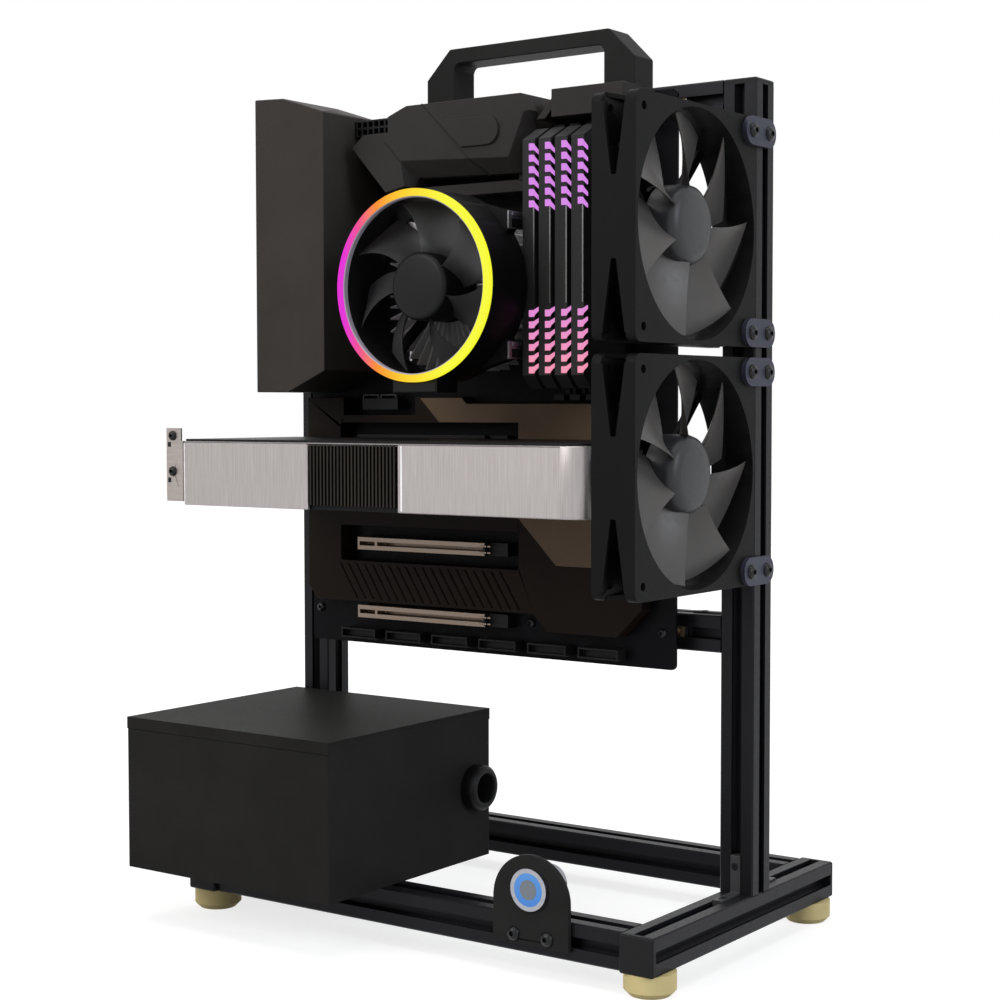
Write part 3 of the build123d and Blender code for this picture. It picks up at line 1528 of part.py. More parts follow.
# Cooling fins of the card: a dense black stack in the front window and coarse ones behind it
card_fan_face = card_bottom + card_hub_inset
card_fin_low = card_fan_face + card_fan_drop + motor_disc_thickness + slip_gap
window_low = card_bottom + card_shroud_thickness
with BuildPart() as card_fins:
    with BuildSketch(level(card_board_bottom)):
        with Locations((card_fin_x, card_middle_y)):
            Rectangle(card_fin_width, card_rear - card_front - 2 * card_wall - 2 * slip_gap)
        with Locations(((card_inner_left + card_board_right) / 2, card_middle_y)):
            Rectangle(card_sink_length, card_rear - card_front - 4 * card_wall)
    extrude(amount=-card_fin_floor)
    window_fins = int(card_fin_width / card_fin_pitch)
    with BuildSketch(level(card_board_bottom)):
        with Locations((card_fin_x, card_front + card_window_fin / 2)):
            with GridLocations(card_fin_pitch, card_fin_pitch, window_fins, 1):
                Rectangle(card_fin_thickness, card_window_fin)
    extrude(amount=window_low + slip_gap - card_board_bottom)
    side_fins = int(card_sink_length / card_inner_fin_pitch)
    with BuildSketch(level(card_board_bottom - card_fin_floor)):
        with Locations(((card_inner_left + card_board_right) / 2, card_middle_y + card_window_fin / 2)):
            with GridLocations(card_inner_fin_pitch, card_inner_fin_pitch, side_fins, 1):
                Rectangle(card_inner_fin_thickness, card_rear - card_front - 4 * card_wall - card_window_fin)
    extrude(amount=card_fin_low - card_board_bottom + card_fin_floor)
save(card_fins, "card_fin_stack")

card_fan_x = (card_fan_left, card_fan_right)
with BuildPart() as card_shroud:
    with BuildSketch(level(card_bottom)) as outline:
        with Locations(((card_left + card_right) / 2, card_middle_y)):
            Rectangle(
                card_inner_right - card_inner_left - 2 * slip_gap,
                card_inner_rear - card_inner_front - 2 * slip_gap,
            )
        fillet(outline.vertices().group_by(Axis.X)[-1], card_round - card_wall - slip_gap)
    extrude(amount=card_shroud_thickness)
    with BuildSketch(level(card_bottom)):
        with Locations(*[(x, card_fan_y) for x in card_fan_x]):
            Circle(card_fan_bore / 2 + card_fan_wall)
    extrude(amount=card_hub_inset + card_fan_drop + motor_disc_thickness)
    with BuildSketch(level(card_bottom)):
        with Locations(*[(x, card_fan_y) for x in card_fan_x]):
            Circle(card_fan_bore / 2)
    extrude(amount=card_hub_inset + card_fan_drop + motor_disc_thickness, mode=Mode.SUBTRACT)
    for x in card_fan_x:
        hub_plane = Plane(origin=point(x, card_fan_y, card_fan_face), x_dir=RIGHT, z_dir=DOWN)
        bearing_base(hub_plane, card_fan_drop, card_fan_hub, card_fan_bore / 2, card_struts)
save(card_shroud, "card_shroud")

card_tip = card_fan_bore - 2 * card_fan_tip_gap
card_rotor = fan_rotor(card_fan_drop, card_tip, card_fan_hub, card_fan_blades, card_blade_depth, card_sweep)
for tag, x in (("left", card_fan_left), ("right", card_fan_right)):
    hub_plane = Plane(origin=point(x, card_fan_y, card_fan_face), x_dir=RIGHT, z_dir=DOWN)
    place(f"card_rotor_{tag}", card_rotor, hub_plane)

# Slot bracket of the card: plate with port windows and a bent tab with two screws
bracket_left = card_left - card_bracket_sheet
with BuildPart() as card_bracket:
    with BuildSketch(side(bracket_left)):
        with Locations(((card_tab_face + card_rear) / 2, (card_bracket_bottom + card_board_top) / 2)):
            Rectangle(card_rear - card_tab_face, card_board_top - card_bracket_bottom)
        with Locations((card_middle_y, card_port_z)):
            with GridLocations(card_port_pitch, card_port_pitch, card_port_count, 1):
                Rectangle(card_port_width, card_port_height, mode=Mode.SUBTRACT)
    extrude(amount=card_bracket_sheet)
    with BuildSketch(facing(card_front)):
        with Locations((bracket_left - card_tab / 2, (card_bracket_bottom + card_bracket_top) / 2)):
            Rectangle(card_tab, card_bracket_top - card_bracket_bottom)
        with Locations(*[(card_screw_x, z) for z in card_screw_z]):
            Circle(small_shank / 2 + thread_gap, mode=Mode.SUBTRACT)
        window_x = card_screw_x - card_tab_window_side
        with Locations(*[(window_x, z - card_tab_window_drop) for z in card_screw_z]):
            Rectangle(card_tab_window, card_tab_window, mode=Mode.SUBTRACT)
    extrude(amount=card_bracket_sheet)
save(card_bracket, "card_bracket")
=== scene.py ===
from math import cos, pi, radians, sin, tau

import bmesh
import bpy
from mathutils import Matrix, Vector


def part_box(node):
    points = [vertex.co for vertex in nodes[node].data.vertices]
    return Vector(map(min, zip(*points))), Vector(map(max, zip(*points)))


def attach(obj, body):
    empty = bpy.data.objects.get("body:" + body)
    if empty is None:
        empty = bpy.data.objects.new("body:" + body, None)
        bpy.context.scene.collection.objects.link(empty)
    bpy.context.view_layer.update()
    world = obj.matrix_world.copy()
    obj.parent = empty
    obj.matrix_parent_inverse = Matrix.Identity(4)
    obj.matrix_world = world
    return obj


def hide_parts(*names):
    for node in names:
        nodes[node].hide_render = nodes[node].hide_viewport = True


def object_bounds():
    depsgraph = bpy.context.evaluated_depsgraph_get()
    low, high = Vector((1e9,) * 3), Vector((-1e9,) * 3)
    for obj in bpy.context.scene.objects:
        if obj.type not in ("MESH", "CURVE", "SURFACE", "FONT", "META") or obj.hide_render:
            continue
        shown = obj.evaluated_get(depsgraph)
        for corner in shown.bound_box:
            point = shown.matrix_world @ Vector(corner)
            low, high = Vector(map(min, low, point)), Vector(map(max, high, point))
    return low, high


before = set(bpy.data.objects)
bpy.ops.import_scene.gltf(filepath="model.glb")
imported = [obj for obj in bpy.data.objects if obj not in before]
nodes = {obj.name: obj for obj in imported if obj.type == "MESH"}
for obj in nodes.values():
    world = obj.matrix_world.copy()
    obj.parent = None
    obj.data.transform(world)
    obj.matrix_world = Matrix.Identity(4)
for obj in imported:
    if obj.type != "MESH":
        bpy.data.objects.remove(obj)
cad_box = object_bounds()

# Places are given in millimetres from the base's lower front left corner, as the bench is drawn
METRE = 1000
CAP_THICKNESS = 3.0
WELD_DISTANCE = 1e-6
rail_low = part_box("base_rail_left")[0]
ORIGIN = Vector((rail_low[0], rail_low[1] - CAP_THICKNESS / METRE, rail_low[2]))
LEFT, RIGHT = Vector((-1, 0, 0)), Vector((1, 0, 0))
FRONT, REAR = Vector((0, -1, 0)), Vector((0, 1, 0))
DOWN, UP = Vector((0, 0, -1)), Vector((0, 0, 1))


def at(x, y, z):
    """A place on the bench, in the frame's metres."""
    return ORIGIN + Vector((x, y, z)) / METRE


def from_frame(place):
    """A place in the frame, in bench millimetres."""
    return (Vector(place) - ORIGIN) * METRE


def bench_box(node):
    """Lowest and highest corner of a CAD node, in bench millimetres."""
    return [from_frame(corner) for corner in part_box(node)]


def box_of(corners):
    """Lowest and highest corner of a box round some places."""
    lowest = Vector([min(corner[axis] for corner in corners) for axis in range(3)])
    highest = Vector([max(corner[axis] for corner in corners) for axis in range(3)])
    return lowest, highest


def loose_solids(node):
    """Corners of each separate solid in a CAD node, in bench millimetres."""
    welded = bmesh.new()
    welded.from_mesh(nodes[node].data)
    bmesh.ops.remove_doubles(welded, verts=welded.verts, dist=WELD_DISTANCE)
    matrix = nodes[node].matrix_world
    seen, solids = set(), []
    for first in welded.verts:
        if first in seen:
            continue
        seen.add(first)
        waiting, corners = [first], []
        while waiting:
            vert = waiting.pop()
            corners.append(from_frame(matrix @ vert.co))
            for edge in vert.link_edges:
                other = edge.other_vert(vert)
                if other not in seen:
                    seen.add(other)
                    waiting.append(other)
        solids.append(corners)
    welded.free()
    return solids


def axis_direction(axis, sign=1):
    return Vector([sign if index == axis else 0 for index in range(3)])


def spot(centre, x_dir, z_dir):
    """Turns places drawn on a small piece, in its own three directions, into bench places."""
    middle, y_dir = Vector(centre), z_dir.cross(x_dir)

    def bench(u, v, w):
        return middle + x_dir * u + y_dir * v + z_dir * w

    return bench


def rectangle(left, right, low, high):
    return [(left, low), (right, low), (right, high), (left, high)]


def centred(count, pitch):
    """Evenly spaced numbers on both sides of nought."""
    return [pitch * (index - (count - 1) / 2) for index in range(count)]


# Pieces built from closed skins, drawn in bench millimetres
CORNER_CUT = 0.7
SECOND_MATERIAL = 1


class Shape:
    """One mesh put together from closed skins."""

    def __init__(self):
        self.mesh = bmesh.new()

    def ring(self, places):
        return [self.mesh.verts.new(at(*place)) for place in places]

    def band(self, near, far):
        """Faces between two rings of as many corners."""
        for index in range(len(near)):
            after = (index + 1) % len(near)
            self.mesh.faces.new((near[index], near[after], far[after], far[index]))

    def skin(self, rows):
        """Skin over rows of places that each run once round, with a flat face at each end."""
        rings = [self.ring(row) for row in rows]
        for near, far in zip(rings, rings[1:]):
            self.band(near, far)
        self.mesh.faces.new(rings[0][::-1])
        self.mesh.faces.new(rings[-1])

    def prism(self, outline, bench, low, high):
        self.skin([[bench(u, v, w) for u, v in outline] for w in (low, high)])

    def plate(self, bench, width, height, thickness, edge):
        """Block with cut corners and a bevelled face."""
        rows = []
        for inset, w in ((0, 0), (0, thickness - edge), (edge, thickness)):
            u, v, cut = width / 2 - inset, height / 2 - inset, edge * CORNER_CUT
            outline = [(cut - u, -v), (u - cut, -v), (u, cut - v), (u, v - cut),
                       (u - cut, v), (cut - u, v), (-u, v - cut), (-u, cut - v)]
            rows.append([bench(*corner, w) for corner in outline])
        self.skin(rows)

    def turned(self, profile, bench, segments):
        """Round solid from steps of radius and height. A third number makes a step that many-sided."""
        rows = []
        for radius, height, *sides in profile:
            row = []
            for index in range(segments):
                angle, reach = tau * index / segments, radius
                if sides:
                    wedge = tau / sides[0]
                    reach = radius / cos((angle + wedge / 2) % wedge - wedge / 2)
                row.append(bench(reach * cos(angle), reach * sin(angle), height))
            rows.append(row)
        self.skin(rows)

    def hoop(self, profile, bench, segments):
        """Round band whose steps of radius and height close on themselves."""
        angles = [tau * index / segments for index in range(segments)]
        rings = []
        for radius, height in profile:
            places = [bench(radius * cos(angle), radius * sin(angle), height) for angle in angles]
            rings.append(self.ring(places))
        for near, far in zip(rings, rings[1:] + rings[:1]):
            self.band(near, far)

    def finish(self, name, material, body, slot, replaced=(), sharp=32, second=None):
        """Puts the mesh on a body as a piece. Edges of more than sharp degrees stay hard."""
        bmesh.ops.recalc_face_normals(self.mesh, faces=self.mesh.faces)
        data = bpy.data.meshes.new(name)
        self.mesh.to_mesh(data)
        self.mesh.free()
        data.materials.append(material)
        if second:
            data.materials.append(second)
        data.shade_smooth()
        data.set_sharp_from_angle(angle=radians(sharp))
        piece = bpy.data.objects.new(name, data)
        bpy.context.collection.objects.link(piece)
        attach(piece, body)
        if replaced:
            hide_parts(*replaced)
        return piece


# Shader nodes
NOISE_LOW, NOISE_HIGH, NOISE_DARK, NOISE_PALE = 0.25, 0.75, 0.3, 0.7


def new_material(name):
    material = bpy.data.materials.new(name)
    material.use_nodes = True
    tree = material.node_tree
    return material, tree, tree.nodes["Principled BSDF"]


def noise_fac(tree, scale, detail=3.0, stretch=(1, 1, 1), rough=0.55):
    """Noise in the object's own coordinates, stretched along an axis for a grain."""
    coord = tree.nodes.new("ShaderNodeTexCoord")
    mapping = tree.nodes.new("ShaderNodeMapping")
    mapping.inputs["Scale"].default_value = stretch
    noise = tree.nodes.new("ShaderNodeTexNoise")
    noise.inputs["Scale"].default_value = scale
    noise.inputs["Detail"].default_value = detail
    noise.inputs["Roughness"].default_value = rough
    tree.links.new(coord.outputs["Object"], mapping.inputs["Vector"])
    tree.links.new(mapping.outputs["Vector"], noise.inputs["Vector"])
    return noise.outputs["Fac"]


def map_range(tree, value, start, end, low=0.0, high=1.0):
    """Number that runs from low to high as a value runs from start to end."""
    node = tree.nodes.new("ShaderNodeMapRange")
    for socket, number in (("From Min", start), ("From Max", end), ("To Min", low), ("To Max", high)):
        node.inputs[socket].default_value = number
    tree.links.new(value, node.inputs["Value"])
    return node.outputs["Result"]


def combine(tree, operation, first, second):
    """Number worked out from two others."""
    node = tree.nodes.new("ShaderNodeMath")
    node.operation = operation
    tree.links.new(first, node.inputs[0])
    tree.links.new(second, node.inputs[1])
    return node.outputs["Value"]


def colour_ramp(tree, fac, stops):
    """Colour that runs through stops of position and colour with a factor."""
    node = tree.nodes.new("ShaderNodeValToRGB")
    elements = node.color_ramp.elements
    while len(elements) < len(stops):
        elements.new(0.5)
    for element, (position, colour) in zip(elements, stops):
        element.position = position
        element.color = (*colour, 1)
    tree.links.new(fac, node.inputs["Fac"])
    return node.outputs["Color"]


def cloudy(tree, fac, colour, vary):
    """Colour that gets darker and paler by a share with a factor."""
    dark, pale = [tuple(min(1.0, c * (1 + turn * vary)) for c in colour) for turn in (-1, 1)]
    return colour_ramp(tree, fac, [(NOISE_DARK, dark), (NOISE_PALE, pale)])


def uneven(tree, fac, number, vary):
    """Number that gets less and more by a share with a factor."""
    return map_range(tree, fac, NOISE_LOW, NOISE_HIGH, number * (1 - vary), min(1.0, number * (1 + vary)))


def bump(tree, shader, fac, strength, distance):
    node = tree.nodes.new("ShaderNodeBump")
    node.inputs["Strength"].default_value = strength
    node.inputs["Distance"].default_value = distance
    tree.links.new(fac, node.inputs["Height"])
    tree.links.new(node.outputs["Normal"], shader.inputs["Normal"])


# Materials
CLOUD_SCALE, CLOUD_DETAIL, CLOUD_VARY = 18.0, 4.0, 0.16
GRAIN_DETAIL, GRAIN_VARY, GRAIN_DEPTH = 2.0, 0.15, 0.0002
SCRATCH_SCALE, SCRATCH_DETAIL, SCRATCH_ROUGH, SCRATCH_VARY = 60.0, 6.0, 0.7, 0.25
SCRATCH_RELIEF, SCRATCH_DEPTH = 0.15, 0.0001
GLOW_BASE, GLOW_ROUGH, GLOW_SPECULAR = (0.03, 0.03, 0.03, 1), 0.45, 0.05


def surface(name, colour, rough, metal=0.0, grain=900.0, relief=0.25, specular=0.5):
    """Moulded, painted or metal surface: cloudy colour, uneven gloss and a fine grain."""
    material, tree, shader = new_material(name)
    clouds = noise_fac(tree, CLOUD_SCALE, CLOUD_DETAIL)
    fine = noise_fac(tree, grain, GRAIN_DETAIL)
    tree.links.new(cloudy(tree, clouds, colour, CLOUD_VARY), shader.inputs["Base Color"])
    tree.links.new(uneven(tree, fine, rough, GRAIN_VARY), shader.inputs["Roughness"])
    shader.inputs["Metallic"].default_value = metal
    shader.inputs["Specular IOR Level"].default_value = specular
    bump(tree, shader, fine, relief, GRAIN_DEPTH)
    return material


def brushed(name, colour, rough, stretch, vary=0.12, metal=1.0):
    """Brushed metal with long fine scratches along one axis."""
    material, tree, shader = new_material(name)
    lines = noise_fac(tree, SCRATCH_SCALE, SCRATCH_DETAIL, stretch, SCRATCH_ROUGH)
    tree.links.new(cloudy(tree, lines, colour, vary), shader.inputs["Base Color"])
    tree.links.new(uneven(tree, lines, rough, SCRATCH_VARY), shader.inputs["Roughness"])
    shader.inputs["Metallic"].default_value = metal
    bump(tree, shader, lines, SCRATCH_RELIEF, SCRATCH_DEPTH)
    return material


def glow(name, stops, axis, start, end, strength):
    """Lit plastic whose colour runs along one axis of the frame between two places, in metres."""
    material, tree, shader = new_material(name)
    coord = tree.nodes.new("ShaderNodeTexCoord")
    split = tree.nodes.new("ShaderNodeSeparateXYZ")
    tree.links.new(coord.outputs["Object"], split.inputs["Vector"])
    along = map_range(tree, split.outputs[axis], start, end)
    tree.links.new(colour_ramp(tree, along, stops), shader.inputs["Emission Color"])
    shader.inputs["Base Color"].default_value = GLOW_BASE
    shader.inputs["Emission Strength"].default_value = strength
    shader.inputs["Roughness"].default_value = GLOW_ROUGH
    shader.inputs["Specular IOR Level"].default_value = GLOW_SPECULAR
    return material


profile_black = surface("profile_black", (0.0088, 0.0088, 0.011), 0.42, metal=0.25, grain=500, relief=0.12,
                        specular=0.16)
frame_black = surface("frame_black", (0.022, 0.0215, 0.021), 0.5, specular=0.04)
bracket_grey = surface("bracket_grey", (0.06, 0.06, 0.062), 0.42, metal=0.4, specular=0.2)
clamp_grey = surface("clamp_grey", (0.045, 0.048, 0.07), 0.42, metal=0.2, specular=0.16)
cap_plastic = surface("cap_plastic", (0.013, 0.013, 0.014), 0.5, specular=0.12)
foot_rubber = surface("foot_rubber", (0.74, 0.61, 0.29), 0.62, grain=500, relief=0.35, specular=0.3)
screw_black = surface("screw_black", (0.008, 0.008, 0.009), 0.36, metal=0.2, specular=0.3)
nut_steel = surface("nut_steel", (0.4, 0.4, 0.42), 0.35, metal=1.0)
button_steel = brushed("button_steel", (0.36, 0.37, 0.4), 0.32, (1, 1, 8))
button_cap = surface("button_cap", (0.17, 0.19, 0.22), 0.45, metal=0.5)
fan_plastic = surface("fan_plastic", (0.006, 0.006, 0.0062), 0.5, specular=0.07)
shroud_plastic = surface("shroud_plastic", (0.006, 0.006, 0.0062), 0.46, specular=0.1)
rotor_plastic = surface("rotor_plastic", (0.084, 0.078, 0.073), 0.4, grain=400, relief=0.1, specular=0.35)
hub_plastic = surface("hub_plastic", (0.033, 0.033, 0.035), 0.4, grain=400, relief=0.1, specular=0.3)
cooler_plastic = surface("cooler_plastic", (0.05, 0.05, 0.051), 0.34, grain=400, relief=0.1)
cooler_hub = surface("cooler_hub", (0.008, 0.008, 0.0083), 0.4, grain=400, relief=0.1, specular=0.14)
psu_paint = surface("psu_paint", (0.021, 0.0203, 0.0192), 0.5, grain=1600, relief=0.4, specular=0.025)
black_plastic = surface("black_plastic", (0.008, 0.008, 0.008), 0.45, specular=0.14)
board_black = surface("board_black", (0.0038, 0.0036, 0.0048), 0.42, grain=300, specular=0.05)
brass = brushed("brass", (0.6, 0.43, 0.19), 0.3, (1, 6, 1))
cover_plastic = surface("cover_plastic", (0.043, 0.038, 0.0345), 0.52, grain=1300, relief=0.3, specular=0.09)
port_steel = brushed("port_steel", (0.42, 0.42, 0.42), 0.35, (8, 1, 1))
sink_dark = surface("sink_dark", (0.029, 0.0262, 0.025), 0.48, grain=1200, specular=0.1)
armour_dark = surface("armour_dark", (0.0112, 0.0072, 0.0052), 0.48, grain=1200, specular=0.06)
bronze = surface("bronze", (0.105, 0.067, 0.04), 0.4, metal=0.2, grain=1000, specular=0.16)
slot_metal = brushed("slot_metal", (0.2, 0.155, 0.125), 0.38, (1, 8, 8))
spreader = surface("spreader", (0.024, 0.0235, 0.0242), 0.44, specular=0.12)
sink_aluminium = brushed("sink_aluminium", (0.85, 0.84, 0.85), 0.45, (8, 8, 1), metal=0.1)
clip_steel = brushed("clip_steel", (0.28, 0.28, 0.29), 0.45, (1, 1, 8))
card_silver = brushed("card_silver", (0.365, 0.337, 0.332), 0.44, (30, 30, 0.6), vary=0.2, metal=0.9)
# Painted highlight: grey for the lit front edges of the memory modules
memory_edge_glint = brushed("memory_edge_glint", (0.15, 0.145, 0.15), 0.35, (8, 8, 1))
# Painted highlight: pale strips for the lit edges of the card's panels
card_edge_glint = brushed("card_edge_glint", (0.78, 0.76, 0.77), 0.3, (8, 8, 1))
rim_lilac = surface("rim_lilac", (0.42, 0.39, 0.46), 0.4, grain=400, relief=0.05)
card_black = surface("card_black", (0.009, 0.008, 0.0075), 0.42, metal=0.2, specular=0.14)
fin_bronze = surface("fin_bronze", (0.028, 0.024, 0.02), 0.4, metal=0.5, specular=0.14)
bracket_steel = brushed("bracket_steel", (0.34, 0.305, 0.285), 0.4, (1, 1, 10))

ring_low, ring_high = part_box("cooler_light_ring")
LEMON, AMBER, ORANGE = (0.92, 0.94, 0.03), (1.0, 0.6, 0.004), (1.0, 0.24, 0.012)
PINK, MAGENTA = (0.86, 0.06, 0.26), (0.76, 0.008, 0.66)
RING_STOPS = [(0.04, MAGENTA), (0.15, PINK), (0.26, ORANGE), (0.44, AMBER), (0.72, LEMON)]
light_ring = glow("light_ring", RING_STOPS, "X", ring_low[0], ring_high[0], strength=1.0)
bars_low, bars_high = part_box("memory_light_bars")
VIOLET, ROSE = (0.7, 0.25, 0.83), (0.95, 0.32, 0.48)
BAR_STOPS = [(0.05, ROSE), (0.4, VIOLET)]
light_bars = glow("light_bars", BAR_STOPS, "Z", bars_low[2], bars_high[2], strength=0.95)
button_low, button_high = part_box("button_light_ring")
BLUE, PALE_BLUE = (0.07, 0.27, 0.76), (0.11, 0.35, 0.84)
BUTTON_STOPS = [(0.0, BLUE), (1.0, PALE_BLUE)]
button_blue = glow("button_blue", BUTTON_STOPS, "Z", button_low[2], button_high[2], strength=0.8)

memory_modules = ["memory_module_1", "memory_module_2", "memory_module_3", "memory_module_4"]
side_fan_frames = ["side_fan_frame_upper", "side_fan_frame_lower"]
finishes = {
    profile_black: ["base_rail_left", "base_rail_right", "base_rail_front", "base_rail_rear", "post_left",
                    "post_right", "crossbar_top", "crossbar_mid"],
    frame_black: ["handle", "button_plate"],
    bracket_grey: ["corner_brackets"],
    clamp_grey: ["fan_clamp_plates"],
    cap_plastic: ["end_caps"],
    foot_rubber: ["rubber_feet"],
    screw_black: ["frame_screws", "small_screws"],
    nut_steel: ["sliding_nuts"],
    button_steel: ["button_housing", "button_nut"],
    button_cap: ["power_button"],
    button_blue: ["button_light_ring"],
    fan_plastic: side_fan_frames,
    shroud_plastic: ["card_shroud", "cooler_shroud"],
    rotor_plastic: ["side_fan_rotor_upper", "side_fan_rotor_lower", "psu_fan_rotor"],
    cooler_plastic: ["cooler_rotor", "card_rotor_left", "card_rotor_right"],
    psu_paint: ["psu_case", "psu_cover"],
    black_plastic: ["psu_grommet", "psu_inlet", "psu_rocker", "cpu_socket", "memory_slots",
                    "board_connectors"],
    board_black: ["motherboard", "card_board"],
    brass: ["standoffs"],
    cover_plastic: ["io_cover"],
    port_steel: ["io_ports"],
    sink_dark: ["vrm_heatsink"],
    armour_dark: ["board_armour"],
    bronze: ["chipset_cover"],
    slot_metal: ["expansion_slots"],
    spreader: memory_modules,
    light_bars: ["memory_light_bars"],
    light_ring: ["cooler_light_ring"],
    sink_aluminium: ["cooler_heatsink"],
    clip_steel: ["cooler_clip"],
    card_silver: ["card_frame"],
    card_black: ["card_backplate"],
    fin_bronze: ["card_fin_stack"],
    bracket_steel: ["card_bracket"],
}
for material, names in finishes.items():
    for name in names:
        nodes[name].data.materials.clear()
        nodes[name].data.materials.append(material)

# The slots' latches and the card's own slot are black plastic, the other slots have a metal shell
LATCH_START, CARD_SLOT_BOTTOM = 152.5, 240.0
slots = nodes["expansion_slots"]
slots.data.materials.append(black_plastic)
for face in slots.data.polygons:
    place = from_frame(slots.matrix_world @ face.center)
    if place.x > LATCH_START or place.z > CARD_SLOT_BOTTOM:
        face.material_index = SECOND_MATERIAL

# Fan rotors with rounded hubs and cupped, twisted blades, in the place of the CAD rotors that show
SHAFT_PROUD, BEARING_ROOM, HUB_ROOF, HUB_SEGMENTS = 3.8, 5.5, 2.0, 72
HUB_ROUNDING = ((3.4, 0), (1.8, 0.3), (0.6, 1.2), (0, 2.8))
BLADE_ROWS, BLADE_STEPS, BLADE_ROOT, BLADE_SHARP = 9, 14, 0.8, 40
BLADE_EDGE, BLADE_BELLY, SWEEP_POWER, TIP_FLATTER = 0.3, 0.45, 1.3, 0.05


def blade_row(bench, radius, lead, width, middle, rise, camber):
    """Places once round a blade at one radius, along its front and back along its rear."""
    front, rear = [], []
    for step in range(BLADE_STEPS + 1):
        along = step / BLADE_STEPS
        angle = lead + width * (along - 0.5)
        height = middle + rise * (along - 0.5) - camber * sin(pi * along)
        half = BLADE_EDGE + BLADE_BELLY * sin(pi * along)
        u, v = radius * cos(angle), radius * sin(angle)
        front.append(bench(u, v, height + half))
        rear.append(bench(u, v, height - half))
    return front + rear[::-1]


def rotor(node, body, material, hub_material, x_dir, z_dir, hub, tip, count, low, high, widths, sweep, camber,
          crown=1.0, phase=0.0):
    """Rotor that faces z_dir, with heights from the hub's face. Widths, sweep and phase are in degrees."""
    lowest, highest = bench_box(node)
    reach = abs(z_dir.dot(highest - lowest)) / 2
    bench = spot((lowest + highest) / 2 + z_dir * reach, x_dir, z_dir)
    depth = 2 * reach - SHAFT_PROUD
    rounding = [(hub - inset * crown, -drop * crown) for inset, drop in HUB_ROUNDING]
    bore = [(BEARING_ROOM, -depth), (BEARING_ROOM, -HUB_ROOF)]
    shape = Shape()
    shape.turned(rounding + [(hub, -depth)] + bore, bench, HUB_SEGMENTS)
    for face in shape.mesh.faces:
        face.material_index = SECOND_MATERIAL
    for blade in range(count):
        rows = []
        for step in range(BLADE_ROWS + 1):
            out = step / BLADE_ROWS
            radius = hub - BLADE_ROOT + (tip - hub + BLADE_ROOT) * out
            lead = tau * blade / count + radians(phase) + radians(sweep) * out ** SWEEP_POWER
            width = radians(widths[0] + (widths[1] - widths[0]) * out)
            rise = (high - low) * (1 - TIP_FLATTER * out)
            rows.append(blade_row(bench, radius, lead, width, (low + high) / 2, rise, camber))
        shape.skin(rows)
    shape.finish(node + "_moulded", material, body, "rotor_plastic", [node], BLADE_SHARP, hub_material)


SIDE_FAN = dict(hub=20.5, tip=56, count=7, low=-16.6, high=-1.4, widths=(52, 50), sweep=6, camber=2.0,
                crown=2.1, phase=26)
COOLER_FAN = dict(hub=18.5, tip=46, count=7, low=-17.0, high=-1.8, widths=(37, 31), sweep=22, camber=2.4,
                  phase=16)
CARD_FAN = dict(hub=15, tip=39.8, count=9, low=-9.2, high=-1.6, widths=(36, 30), sweep=16, camber=1.0)
rotor("side_fan_rotor_upper", "upper_fan", rotor_plastic, hub_plastic, REAR, RIGHT, **SIDE_FAN)
rotor("side_fan_rotor_lower", "lower_fan", rotor_plastic, hub_plastic, REAR, RIGHT, **SIDE_FAN)
rotor("cooler_rotor", "cooler_fan", cooler_plastic, cooler_hub, RIGHT, FRONT, **COOLER_FAN)
rotor("card_rotor_left", "card_fan_left", cooler_plastic, cooler_hub, RIGHT, DOWN, **CARD_FAN)
rotor("card_rotor_right", "card_fan_right", cooler_plastic, cooler_hub, RIGHT, DOWN, **CARD_FAN)

# Screws with domed heads and driver sockets, drawn in shares of the head's size apart from its rim
HEAD_DOME = ((0.68, 0.86), (0.88, 0.6), (0.98, 0.22))
HEAD_BROAD, SHANK_SHARE, SOCKET_FLOOR, SOCKET_TOP, SOCKET_FLARE = 0.9, 0.52, 0.3, 0.93, 1.35
HEAD_RIM, SCREW_SEGMENTS = 0.05, 48


def domed_screws(node, name, slot, socket, sides):
    """Screws in the place of CAD solids. A solid's head is at the end where it is broad."""
    shape = Shape()
    for corners in loose_solids(node):
        lowest, highest = box_of(corners)
        size, middle = highest - lowest, (highest + lowest) / 2
        axis = max(range(3), key=lambda index: size[index])
        others = [index for index in range(3) if index != axis]
        head = size[(axis + 1) % 3] / 2
        broad = [corner[axis] for corner in corners
                 if max(abs(corner[side] - middle[side]) for side in others) > head * HEAD_BROAD]
        outward = 1 if sum(broad) / len(broad) > middle[axis] else -1
        seat = min(broad) if outward > 0 else max(broad)
        top = (highest[axis] - seat) if outward > 0 else (seat - lowest[axis])
        shank, length = head * SHANK_SHARE, size[axis] - top
        driver = [(socket, top * SOCKET_FLOOR, sides), (socket, top * SOCKET_TOP, sides),
                  (socket * SOCKET_FLARE, top)]
        dome = [(head * across, top * up) for across, up in HEAD_DOME]
        body = [(head, HEAD_RIM), (head, 0), (shank, 0), (shank, -length)]
        centre = middle.copy()
        centre[axis] = seat
        bench = spot(centre, axis_direction((axis + 1) % 3), axis_direction(axis, outward))
        shape.turned(driver + dome + body, bench, SCREW_SEGMENTS)
    shape.finish(name, screw_black, "bench", slot, [node])


domed_screws("frame_screws", "domed_frame_screws", "screw_black", socket=1.3, sides=6)
domed_screws("small_screws", "domed_small_screws", "screw_small", socket=0.85, sides=4)

# Lit bars that fold round the memory's front edges, and between them a painted highlight: a grey line along
# each module's lit front edge
MODULE_PITCH, BAR_PITCH, BAR_ROWS, TOP_INSET, BOTTOM_INSET = 10.33, 6.0, 6, 2.8, 1.4
BAR_WIDTH, BAR_ABOVE, BAR_BELOW, BAR_CUT, BAR_PROUD = 3.0, 1.7, 1.8, 0.6, 1.3
TAIL_LENGTH, TAIL_ABOVE, TAIL_BELOW, TAIL_PROUD = 3.2, 1.7, 3.6, 0.5
LINE_LEFT, LINE_RIGHT, LINE_LOW, LINE_HIGH, LINE_PROUD = -0.9, -0.2, 336.0, 387.0, 0.35


